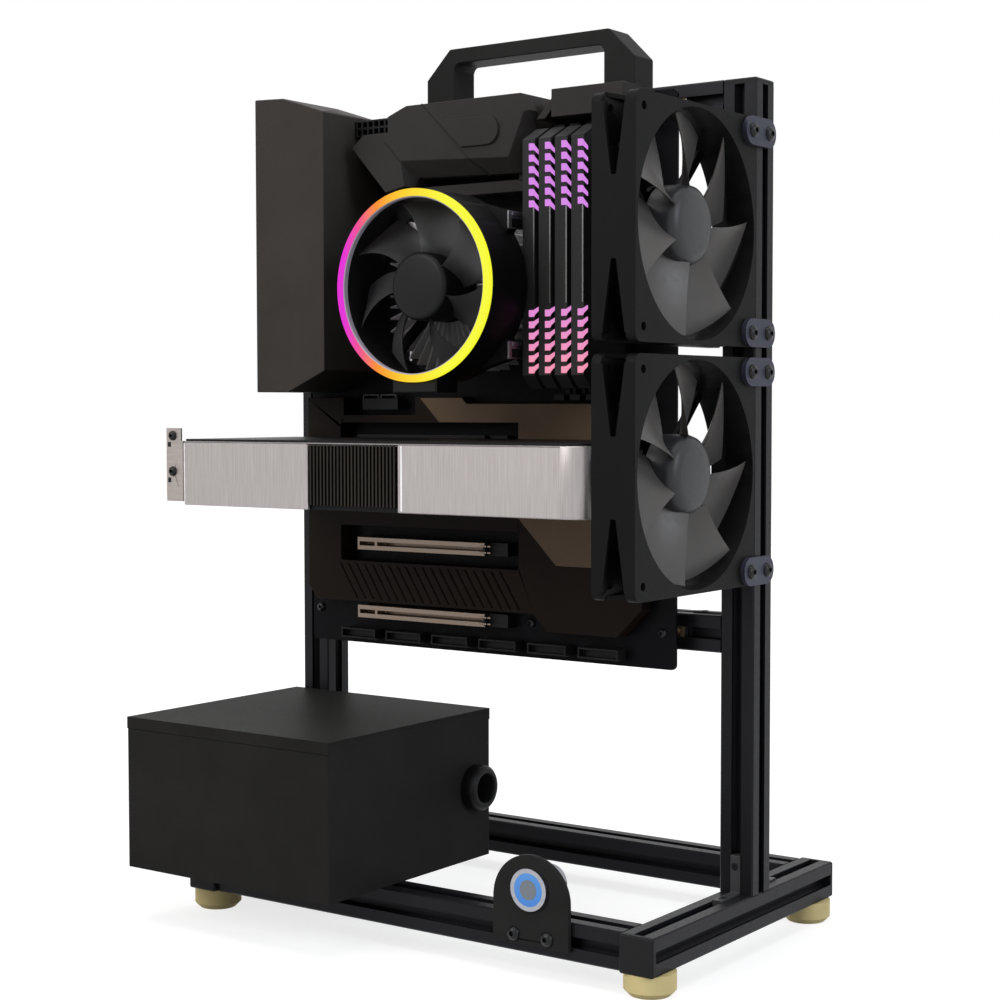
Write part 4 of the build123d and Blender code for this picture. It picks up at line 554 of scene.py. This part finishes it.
def memory_lights():
    module_low, module_high = bench_box(memory_modules[0])
    lowest, highest = bench_box("memory_light_bars")
    bars, lines = Shape(), Shape()
    for module in range(len(memory_modules)):
        edge = (module_high.x + module * MODULE_PITCH, module_low.y, 0)
        face, flank = spot(edge, RIGHT, FRONT), spot(edge, REAR, RIGHT)
        for end, lean in ((highest.z - TOP_INSET, 1), (lowest.z + BOTTOM_INSET, -1)):
            for row in range(BAR_ROWS):
                z = end - lean * BAR_PITCH * row
                above, below = z + BAR_ABOVE * lean, z - BAR_BELOW * lean
                fold = above - BAR_CUT * lean
                bar = [(-BAR_WIDTH, above), (-BAR_CUT, above), (0, fold), (0, below), (-BAR_WIDTH, below)]
                bars.prism(bar, face, 0, BAR_PROUD)
                tail = [(-BAR_PROUD, fold), (TAIL_LENGTH, z - TAIL_ABOVE * lean),
                        (TAIL_LENGTH, z - TAIL_BELOW * lean), (-BAR_PROUD, below)]
                bars.prism(tail, flank, 0, TAIL_PROUD)
        # Painted highlight: grey line just inside the module's lit right front edge
        lines.prism(rectangle(LINE_LEFT, LINE_RIGHT, LINE_LOW, LINE_HIGH), face, 0, LINE_PROUD)
    bars.finish("lit_memory_bars", light_bars, "bench", "light_violet", ["memory_light_bars"])
    lines.finish("memory_edge_highlights", memory_edge_glint, "bench", "slot_metal")


memory_lights()

# Radial heatsink of the cooler
BASE_WIDTH, BASE_THICKNESS, BASE_EDGE = 50, 6, 0.8
CORE, CORE_SUNK, CORE_EDGE, CORE_SEGMENTS = 17.0, 0.5, 1.0, 48
FINS, FIN_HALF, FIN_ROOT, FIN_LIFT = 44, 0.45, 0.6, 0.5
FIN_SIDE, FIN_TOP, FIN_CORNER = 41.6, 44.6, 47.0
sink_low, sink_high = bench_box("cooler_heatsink")
cooler_x, cooler_z = (sink_low.x + sink_high.x) / 2, (sink_low.z + sink_high.z) / 2


def cooler_fins():
    depth = sink_high.y - sink_low.y
    base = spot((cooler_x, sink_high.y, cooler_z), RIGHT, FRONT)
    heatsink = Shape()
    heatsink.plate(base, BASE_WIDTH, BASE_WIDTH, BASE_THICKNESS, BASE_EDGE)
    core = [(CORE, BASE_THICKNESS - CORE_SUNK), (CORE, depth - CORE_EDGE), (CORE - CORE_EDGE, depth)]
    heatsink.turned(core, base, CORE_SEGMENTS)
    for fin in range(FINS):
        angle = tau * (fin + 0.5) / FINS
        out = min(FIN_SIDE / abs(cos(angle)), FIN_TOP / abs(sin(angle)), FIN_CORNER)
        outline = []
        for radius, half in rectangle(CORE - FIN_ROOT, out, -FIN_HALF, FIN_HALF):
            outline.append((radius * cos(angle) - half * sin(angle), radius * sin(angle) + half * cos(angle)))
        heatsink.prism(outline, base, BASE_THICKNESS + FIN_LIFT, depth)
    heatsink.finish("cooler_fins", sink_aluminium, "bench", "sink_aluminium", ["cooler_heatsink"])


cooler_fins()

# Pale rim inside the cooler's light ring, and the dark lip under the ring
RIM_INNER, RIM_OUTER, RIM_INNER_TOP, RIM_OUTER_TOP, RIM_BOTTOM = 46.9, 47.45, -0.5, -0.2, -3.4
RIM_SEGMENTS = 120
LIP_WIDTH, LIP_HEIGHT, LIP_DROP, LIP_THICKNESS, LIP_EDGE = 28.5, 5.2, 2.7, 0.5, 0.3


def cooler_trim():
    lowest, highest = bench_box("cooler_light_ring")
    profile = [(RIM_INNER, RIM_INNER_TOP), (RIM_OUTER, RIM_OUTER_TOP), (RIM_OUTER, RIM_BOTTOM),
               (RIM_INNER, RIM_BOTTOM)]
    rim = Shape()
    rim.hoop(profile, spot((cooler_x, lowest.y, cooler_z), RIGHT, FRONT), RIM_SEGMENTS)
    rim.finish("cooler_rim", rim_lilac, "bench", "clip_steel")
    lip = Shape()
    face = spot((cooler_x, highest.y, lowest.z - LIP_DROP), RIGHT, FRONT)
    lip.plate(face, LIP_WIDTH, LIP_HEIGHT, LIP_THICKNESS, LIP_EDGE)
    lip.finish("cooler_lip", cooler_hub, "bench", "rotor_plastic")


cooler_trim()

# Plates of the cooler's clip, each with a tab and a dark window
EAR_REACH, EAR_HEIGHT, EAR_DEPTH, EAR_LEVEL = 45.0, 34.5, 40.5, 0.6
EAR_SIZE, TAB_SIZE, WINDOW_SIZE = (14, 9.5), (11, 2.0), (9.5, 4.6)
TAB_BACK, TAB_UP, WINDOW_BACK, WINDOW_DOWN = 1.5, 3.2, 0.5, 1.6
EAR_THICKNESS, EAR_EDGE, WINDOW_THICKNESS, WINDOW_EDGE = 0.7, 0.25, 0.3, 0.12


def cooler_clip():
    plates, windows = Shape(), Shape()
    for hand in (-1, 1):
        along, out = REAR * hand, RIGHT * hand
        for turn in (-1, 1):
            ear = (cooler_x + hand * EAR_REACH, EAR_DEPTH, cooler_z + turn * EAR_HEIGHT)
            face = spot(ear, along, out)
            tab = spot(face(TAB_BACK * hand, TAB_UP, EAR_LEVEL), along, out)
            window = spot(face(WINDOW_BACK * hand, -WINDOW_DOWN, EAR_LEVEL), along, out)
            plates.plate(face, *EAR_SIZE, EAR_THICKNESS, EAR_EDGE)
            plates.plate(tab, *TAB_SIZE, EAR_THICKNESS, EAR_EDGE)
            windows.plate(window, *WINDOW_SIZE, WINDOW_THICKNESS, WINDOW_EDGE)
    plates.finish("cooler_clip_plates", clip_steel, "bench", "clip_steel")
    windows.finish("cooler_clip_windows", black_plastic, "bench", "black_plastic")


cooler_clip()

# Set screws in the free faces of the slot brackets
SET_SCREW = ((0.9, 0.05, 6), (0.9, 0.3, 6), (1.9, 0.3), (2.1, 0.15), (2.1, 0))
SET_SEGMENTS, SET_INSET, ARM_TIP = 36, 6.0, 1.0


def empty_corner(corners, first, second):
    """The corner of a bracket's box, in two axes, that is furthest from its solid."""
    lowest, highest = box_of(corners)
    ends = [(a, b) for a in (lowest[first], highest[first]) for b in (lowest[second], highest[second])]
    return max(ends, key=lambda end: min((corner[first] - end[0]) ** 2 + (corner[second] - end[1]) ** 2
                                         for corner in corners))


def bracket_screws():
    screws = Shape()
    for corners in loose_solids("corner_brackets"):
        lowest, highest = box_of(corners)
        size, middle = highest - lowest, (highest + lowest) / 2
        width_axis = min(range(3), key=lambda axis: size[axis])
        first, second = [axis for axis in range(3) if axis != width_axis]
        empty = empty_corner(corners, first, second)
        for along, across, end, open_side in ((first, second, *empty), (second, first, *empty[::-1])):
            tips = [corner[across] for corner in corners if abs(corner[along] - end) < ARM_TIP]
            face_place = min(tips, key=lambda place: abs(place - open_side))
            centre = middle.copy()
            centre[across] = face_place
            centre[along] = end + (SET_INSET if middle[along] > end else -SET_INSET)
            outward = axis_direction(across, 1 if open_side > face_place else -1)
            screws.turned(SET_SCREW, spot(centre, axis_direction(along), outward), SET_SEGMENTS)
    screws.finish("bracket_screws", screw_black, "bench", "screw_black")


bracket_screws()

# Painted highlights: bright strips along the lit edges of the card's two panels
PANEL_EDGES, EDGE_WIDTH, EDGE_INSET, EDGE_PROUD, EDGE_BEVEL = (19.2, 176.0), 1.1, 1.0, 0.25, 0.12


def card_edge_highlights():
    lowest, highest = bench_box("card_frame")
    height = highest.z - lowest.z - 2 * EDGE_INSET
    strips = Shape()
    for x in PANEL_EDGES:
        strip = spot((x, lowest.y, (lowest.z + highest.z) / 2), RIGHT, FRONT)
        strips.plate(strip, EDGE_WIDTH, height, EDGE_PROUD, EDGE_BEVEL)
    strips.finish("card_edge_highlights", card_edge_glint, "bench", "card_silver")


card_edge_highlights()

# Contacts at the slots' latches
CONTACT_COUNT, CONTACT_PITCH, CONTACT_START, CONTACT_SPREAD, LATCH_MARGIN = 3, 2.9, 0.7, 0.24, 1.0
CONTACT_WIDTH, CONTACT_HEIGHT, CONTACT_THICKNESS, CONTACT_EDGE = 2.1, 1.0, 0.3, 0.1


def latch_contacts():
    contacts = Shape()
    for corners in loose_solids("expansion_slots"):
        lowest, highest = box_of(corners)
        latch = [corner.y for corner in corners if corner.x > LATCH_START + LATCH_MARGIN]
        if highest.z > CARD_SLOT_BOTTOM or not latch:
            continue
        middle, spread = (lowest.z + highest.z) / 2, CONTACT_SPREAD * (highest.z - lowest.z)
        for index in range(CONTACT_COUNT):
            x = LATCH_START + CONTACT_PITCH * (index + CONTACT_START)
            for z in (middle - spread, middle + spread):
                contact = spot((x, min(latch), z), RIGHT, FRONT)
                contacts.plate(contact, CONTACT_WIDTH, CONTACT_HEIGHT, CONTACT_THICKNESS, CONTACT_EDGE)
    contacts.finish("latch_contacts", slot_metal, "bench", "slot_metal")


latch_contacts()

# Two-cell socket on the board under the cooler
SOCKET_X, SOCKET_Z, SOCKET_HEIGHT, SOCKET_SUNK, SOCKET_EDGE = 77.0, 285.4, 6.5, 0.2, 0.15
CELL_COUNT, CELL_PITCH, CELL_HALF, CELL_RISE, CELL_WALL = 2, 13.4, 5.6, 3.0, 0.8
board_low, board_high = bench_box("motherboard")


def two_cell_socket():
    walls = [(0, turn * CELL_RISE, 2 * CELL_HALF, CELL_WALL) for turn in (1, -1)]
    walls += [(turn * CELL_HALF, 0, CELL_WALL, 2 * CELL_RISE) for turn in (1, -1)]
    cells = Shape()
    for offset in centred(CELL_COUNT, CELL_PITCH):
        cell = spot((SOCKET_X + offset, board_low.y, SOCKET_Z), RIGHT, FRONT)
        for u, v, width, height in walls:
            wall = spot(cell(u, v, -SOCKET_SUNK), RIGHT, FRONT)
            cells.plate(wall, width, height, SOCKET_HEIGHT, SOCKET_EDGE)
    cells.finish("two_cell_socket", bracket_grey, "bench", "black_plastic")


two_cell_socket()

# Painted shade: black plates in the holes under the screws of the card's bracket tab
HOLE_SHADE_X, HOLE_SHADE_HEIGHTS, HOLE_SHADE_WIDTH, HOLE_SHADE_HEIGHT = 8.4, (260.2, 240.0), 2.4, 2.8
HOLE_SHADE_DEPTH, HOLE_SHADE_PROUD, HOLE_SHADE_EDGE = 0.8, 0.12, 0.1


def bracket_hole_shade():
    tab_face = bench_box("card_bracket")[0].y
    shade_plates = Shape()
    for z in HOLE_SHADE_HEIGHTS:
        shade_plate = spot((HOLE_SHADE_X, tab_face + HOLE_SHADE_DEPTH - HOLE_SHADE_PROUD, z), RIGHT, FRONT)
        shade_plates.plate(shade_plate, HOLE_SHADE_WIDTH, HOLE_SHADE_HEIGHT, HOLE_SHADE_DEPTH, HOLE_SHADE_EDGE)
    shade_plates.finish("bracket_hole_shade", black_plastic, "bench", "black_plastic")


bracket_hole_shade()

# Solder points on the back of the board behind its sockets
POINT_PITCH, POINT_INSET, POINT_SEGMENTS = 3.4, 2.5, 8
SOLDER_POINT = ((0.85, -0.1), (0.6, 0.42), (0.2, 0.7))


def point_offsets(length):
    """Places of the solder points that a length has room for, measured from its middle."""
    return centred(max(1, int((length - 2 * POINT_INSET) / POINT_PITCH)), POINT_PITCH)


def solder_points():
    points = Shape()
    for node in ("memory_slots", "expansion_slots", "board_connectors", "cpu_socket"):
        for corners in loose_solids(node):
            lowest, highest = box_of(corners)
            middle_x, middle_z = (lowest.x + highest.x) / 2, (lowest.z + highest.z) / 2
            for x in point_offsets(highest.x - lowest.x):
                for z in point_offsets(highest.z - lowest.z):
                    point = spot((middle_x + x, board_high.y, middle_z + z), LEFT, REAR)
                    points.turned(SOLDER_POINT, point, POINT_SEGMENTS)
    points.finish("solder_points", nut_steel, "bench", "nut_steel")


solder_points()

# Webs that narrow the pockets in the sides of the fan frames to a point
WEB_START, WEB_END, WEB_NARROW, WEB_WIDE, POCKET_EDGE = 33.0, 55.4, 3.29, 6.37, 7.4
WEB_THICKNESS, WEB_SUNK = 2.2, 0.03
WEB = [(WEB_START, WEB_NARROW), (WEB_END, WEB_WIDE), (WEB_END, POCKET_EDGE), (WEB_START, POCKET_EDGE)]


def fan_frame_webs():
    webs = Shape()
    for node in side_fan_frames:
        lowest, highest = bench_box(node)
        half = (highest.y - lowest.y) / 2
        for along, out in ((UP, FRONT), (UP, REAR), (REAR, UP), (REAR, DOWN)):
            side = spot((lowest + highest) / 2 + out * half, along, out)
            for end in (-1, 1):
                for hand in (-1, 1):
                    outline = [(u * end, v * hand) for u, v in WEB]
                    webs.prism(outline, side, -WEB_THICKNESS, -WEB_SUNK)
    webs.finish("fan_frame_webs", fan_plastic, "bench", "black_plastic")


fan_frame_webs()

# Power stage heatsink: arm, bevelled block with a disc and tongue, low rail, and a bar and strut over a floor
SINK_RIGHT, SINK_TOP, SINK_BEVEL, SINK_EDGE = 203.0, 451.0, 8.0, 0.4
ARM = [(78, 430.5), (86.7, 437), (104.6, 437), (104.6, 446), (118, SINK_TOP), (197, SINK_TOP),
       (SINK_RIGHT, 441)]
FOOT = [(SINK_RIGHT, 430), (194, 409), (121.5, 411), (117.9, 405), (103, 402.4)]
BEVELLED_FOOT = [(199, 441), (188.7, 417), (113.5, 420.5), (116.9, 406), (103, 403.2)]
DISC_X, DISC_Z, DISC_RADIUS, DISC_HEIGHT, DISC_SUNK, DISC_STEPS = 174.8, 432.7, 8.0, 1.5, 0.4, 24
TONGUE_ABOVE, TONGUE_BELOW = 141.4, 157.4
BAR_BOTTOM, BAR_LEFT, FLOOR_LEFT, FLOOR_RISE = 436.0, SINK_RIGHT + 14, SINK_RIGHT - 1, 10
STRUT_BELOW, STRUT_ABOVE, STRUT_WIDTH = SINK_RIGHT + 2, SINK_RIGHT + 16, 6
STRUT_INSET, STRUT_LOW, STRUT_BACK = 0.1, 5, 3
LOW_RAIL, RAIL_POST, RAIL_RISE = (114.6, SINK_RIGHT, 399.6, 406.2), (187.4, 194, 405, 410), 20
GROOVE_TOP, GROOVE_BEND, GROOVE_END = (129.2, SINK_TOP), (161.9, 418.3), (171.0, 409.3)
ARM_GROOVE_TOP, ARM_GROOVE_END = (102.5, 432), (113.5, 420.5)
GROOVE_HALF, GROOVE_SUNK, GROOVE_PROUD = 0.55, 0.3, 0.05


def power_stage():
    lowest, highest = bench_box("vrm_heatsink")
    face = spot((0, highest.y, 0), RIGHT, FRONT)
    proud = highest.y - lowest.y - DISC_HEIGHT
    bevel = proud - SINK_BEVEL
    sink = Shape()
    outlines = ((ARM + FOOT, 0), (ARM + FOOT, bevel), (ARM + BEVELLED_FOOT, proud))
    sink.skin([[face(u, v, w) for u, v in outline] for outline, w in outlines])
    disc = [(TONGUE_ABOVE, DISC_Z + DISC_RADIUS), (TONGUE_BELOW, DISC_Z - DISC_RADIUS)]
    for step in range(DISC_STEPS + 1):
        angle = pi * (step / DISC_STEPS - 0.5)
        disc.append((DISC_X + DISC_RADIUS * cos(angle), DISC_Z + DISC_RADIUS * sin(angle)))
    sink.prism(disc, face, proud - DISC_SUNK, proud + DISC_HEIGHT)
    bar_floor = (FLOOR_LEFT, highest.x, BAR_BOTTOM, SINK_TOP)
    bar = (BAR_LEFT, highest.x, BAR_BOTTOM, SINK_TOP)
    for sides, rise in ((bar_floor, FLOOR_RISE), (bar, proud), (LOW_RAIL, RAIL_RISE), (RAIL_POST, RAIL_RISE)):
        sink.prism(rectangle(*sides), face, 0, rise)
    strut_low, strut_high = BAR_BOTTOM + STRUT_INSET, SINK_TOP - STRUT_INSET
    strut = [(STRUT_BELOW, strut_low), (STRUT_BELOW + STRUT_WIDTH, strut_low),
             (STRUT_ABOVE + STRUT_WIDTH, strut_high), (STRUT_ABOVE, strut_high)]
    sink.prism(strut, face, STRUT_LOW, proud - STRUT_BACK)
    block = sink.finish("power_stage_sink", sink_dark, "bench", "sink_dark", ["vrm_heatsink"])

    # Painted shade: black strips set into the face stand for the shade in the block's grooves
    groove_shade_strips = Shape()
    across = (RIGHT + UP).normalized()
    section = rectangle(-GROOVE_HALF, GROOVE_HALF, -GROOVE_SUNK, GROOVE_PROUD)
    for start, end, out in ((face(*GROOVE_TOP, proud), face(*GROOVE_BEND, proud), FRONT),
                            (face(*GROOVE_BEND, proud), face(*GROOVE_END, bevel), FRONT + DOWN),
                            (face(*ARM_GROOVE_TOP, proud), face(*ARM_GROOVE_END, proud), FRONT)):
        lift = out.normalized()
        groove_shade_strips.skin([[place + across * u + lift * v for u, v in section] for place in (start, end)])
    groove_shade_strips.finish("power_stage_groove_shade", black_plastic, "bench", "black_plastic")
    return block


power_block = power_stage()

# Softened edges, in millimetres, on the pieces that show them
SOFT_SEGMENTS, SOFT_ANGLE = 2, 40
soft_edges = {
    0.25: ["psu_cover", *memory_modules, "expansion_slots", "card_backplate", "end_caps", "corner_brackets",
           "button_housing", "card_bracket", "board_connectors"],
    0.45: ["button_plate", "board_armour", *side_fan_frames, "cooler_shroud"],
    0.8: ["io_cover", "handle", "card_frame", "psu_grommet"],
}


def soften(piece, width):
    weld = piece.modifiers.new("weld", "WELD")
    weld.merge_threshold = WELD_DISTANCE
    round_off = piece.modifiers.new("soft_edge", "BEVEL")
    round_off.width = width / METRE
    round_off.segments = SOFT_SEGMENTS
    round_off.limit_method = "ANGLE"
    round_off.angle_limit = radians(SOFT_ANGLE)
    round_off.harden_normals = True


for width, names in soft_edges.items():
    for name in names:
        soften(nodes[name], width)
soften(power_block, SINK_EDGE)

# Camera at the photograph's place and angle
CAMERA_PLACE = (800.21, -802.98, 281.55)
CAMERA_YAW, CAMERA_PITCH, CAMERA_ROLL = 35.627, 2.779, 0.062
CAMERA_SENSOR, CAMERA_LENS, CAMERA_CLIP = 36.0, 69.396, 0.05
camera_data = bpy.data.cameras.new("camera")
camera_data.sensor_width = CAMERA_SENSOR
camera_data.lens = CAMERA_LENS
camera_data.clip_start = CAMERA_CLIP
camera = bpy.data.objects.new("camera", camera_data)
camera.location = at(*CAMERA_PLACE)
camera.rotation_euler = (radians(90 - CAMERA_PITCH), radians(CAMERA_ROLL), radians(CAMERA_YAW))
bpy.context.collection.objects.link(camera)
bpy.context.scene.camera = camera


# Soft lamps, placed in the frame's metres
def lamp(name, place, target, size, power, colour=(1, 1, 1)):
    data = bpy.data.lights.new(name, "AREA")
    data.shape = "SQUARE"
    data.size = size
    data.energy = power
    data.color = colour
    lamp_object = bpy.data.objects.new(name, data)
    lamp_object.location = place
    lamp_object.rotation_euler = (Vector(target) - Vector(place)).to_track_quat("-Z", "Y").to_euler()
    bpy.context.collection.objects.link(lamp_object)


COOL_WHITE = (0.84, 0.9, 1.0)
lamp("key", place=(-0.9, -2.2, 1.6), target=(0, 0, 0.25), size=1.4, power=31)
lamp("side", place=(2.4, -0.3, 1.2), target=(0, 0, 0.25), size=1.2, power=25, colour=COOL_WHITE)
lamp("top", place=(0.1, -0.3, 2.6), target=(0, 0, 0.3), size=1.6, power=25)


# Pale floor that gets whiter away from the object, and a white surround
def seen_white(tree, low, high):
    """Number that is high for what the camera, gloss and glass see, and low for other light."""
    paths = tree.nodes.new("ShaderNodeLightPath")
    total = paths.outputs["Is Camera Ray"]
    for name in ("Is Glossy Ray", "Is Transmission Ray"):
        total = combine(tree, "MAXIMUM", total, paths.outputs[name])
    return map_range(tree, total, 0.0, 1.0, low, high)


FLOOR_SIZE, FLOOR_ROUGH, FLOOR_GREY, FLOOR_VARY, FLOOR_CLOUDS = 8.0, 0.9, (0.4, 0.4, 0.4), 0.025, 3.0
FLOOR_NEAR, FLOOR_FAR, NEAR_LEVEL, FAR_LEVEL = 0.35, 1.6, 0.76, 1.0
WHITE = (1, 1, 1, 1)
floor_material, floor_tree, floor_shader = new_material("floor")
floor_colour = cloudy(floor_tree, noise_fac(floor_tree, FLOOR_CLOUDS), FLOOR_GREY, FLOOR_VARY)
floor_tree.links.new(floor_colour, floor_shader.inputs["Base Color"])
floor_shader.inputs["Roughness"].default_value = FLOOR_ROUGH
floor_shader.inputs["Specular IOR Level"].default_value = 0.0
floor_shader.inputs["Emission Color"].default_value = WHITE
floor_place = floor_tree.nodes.new("ShaderNodeTexCoord")
floor_reach = floor_tree.nodes.new("ShaderNodeVectorMath")
floor_reach.operation = "LENGTH"
floor_tree.links.new(floor_place.outputs["Object"], floor_reach.inputs[0])
floor_distance = floor_reach.outputs["Value"]
floor_level = map_range(floor_tree, floor_distance, FLOOR_NEAR, FLOOR_FAR, NEAR_LEVEL, FAR_LEVEL)
floor_seen = combine(floor_tree, "MULTIPLY", seen_white(floor_tree, 0.0, 1.0), floor_level)
floor_tree.links.new(floor_seen, floor_shader.inputs["Emission Strength"])
bpy.ops.mesh.primitive_plane_add(size=FLOOR_SIZE, location=(0, 0, cad_box[0][2]))
floor = bpy.context.object
floor.name = "floor"
floor.data.materials.append(floor_material)

AMBIENT, SEEN = 0.35, 1.0
world = bpy.data.worlds.new("studio")
world.use_nodes = True
bpy.context.scene.world = world
world_tree = world.node_tree
background = world_tree.nodes["Background"]
background.inputs["Color"].default_value = WHITE
world_tree.links.new(seen_white(world_tree, AMBIENT, SEEN), background.inputs["Strength"])
bpy.context.scene.view_settings.view_transform = "Standard"
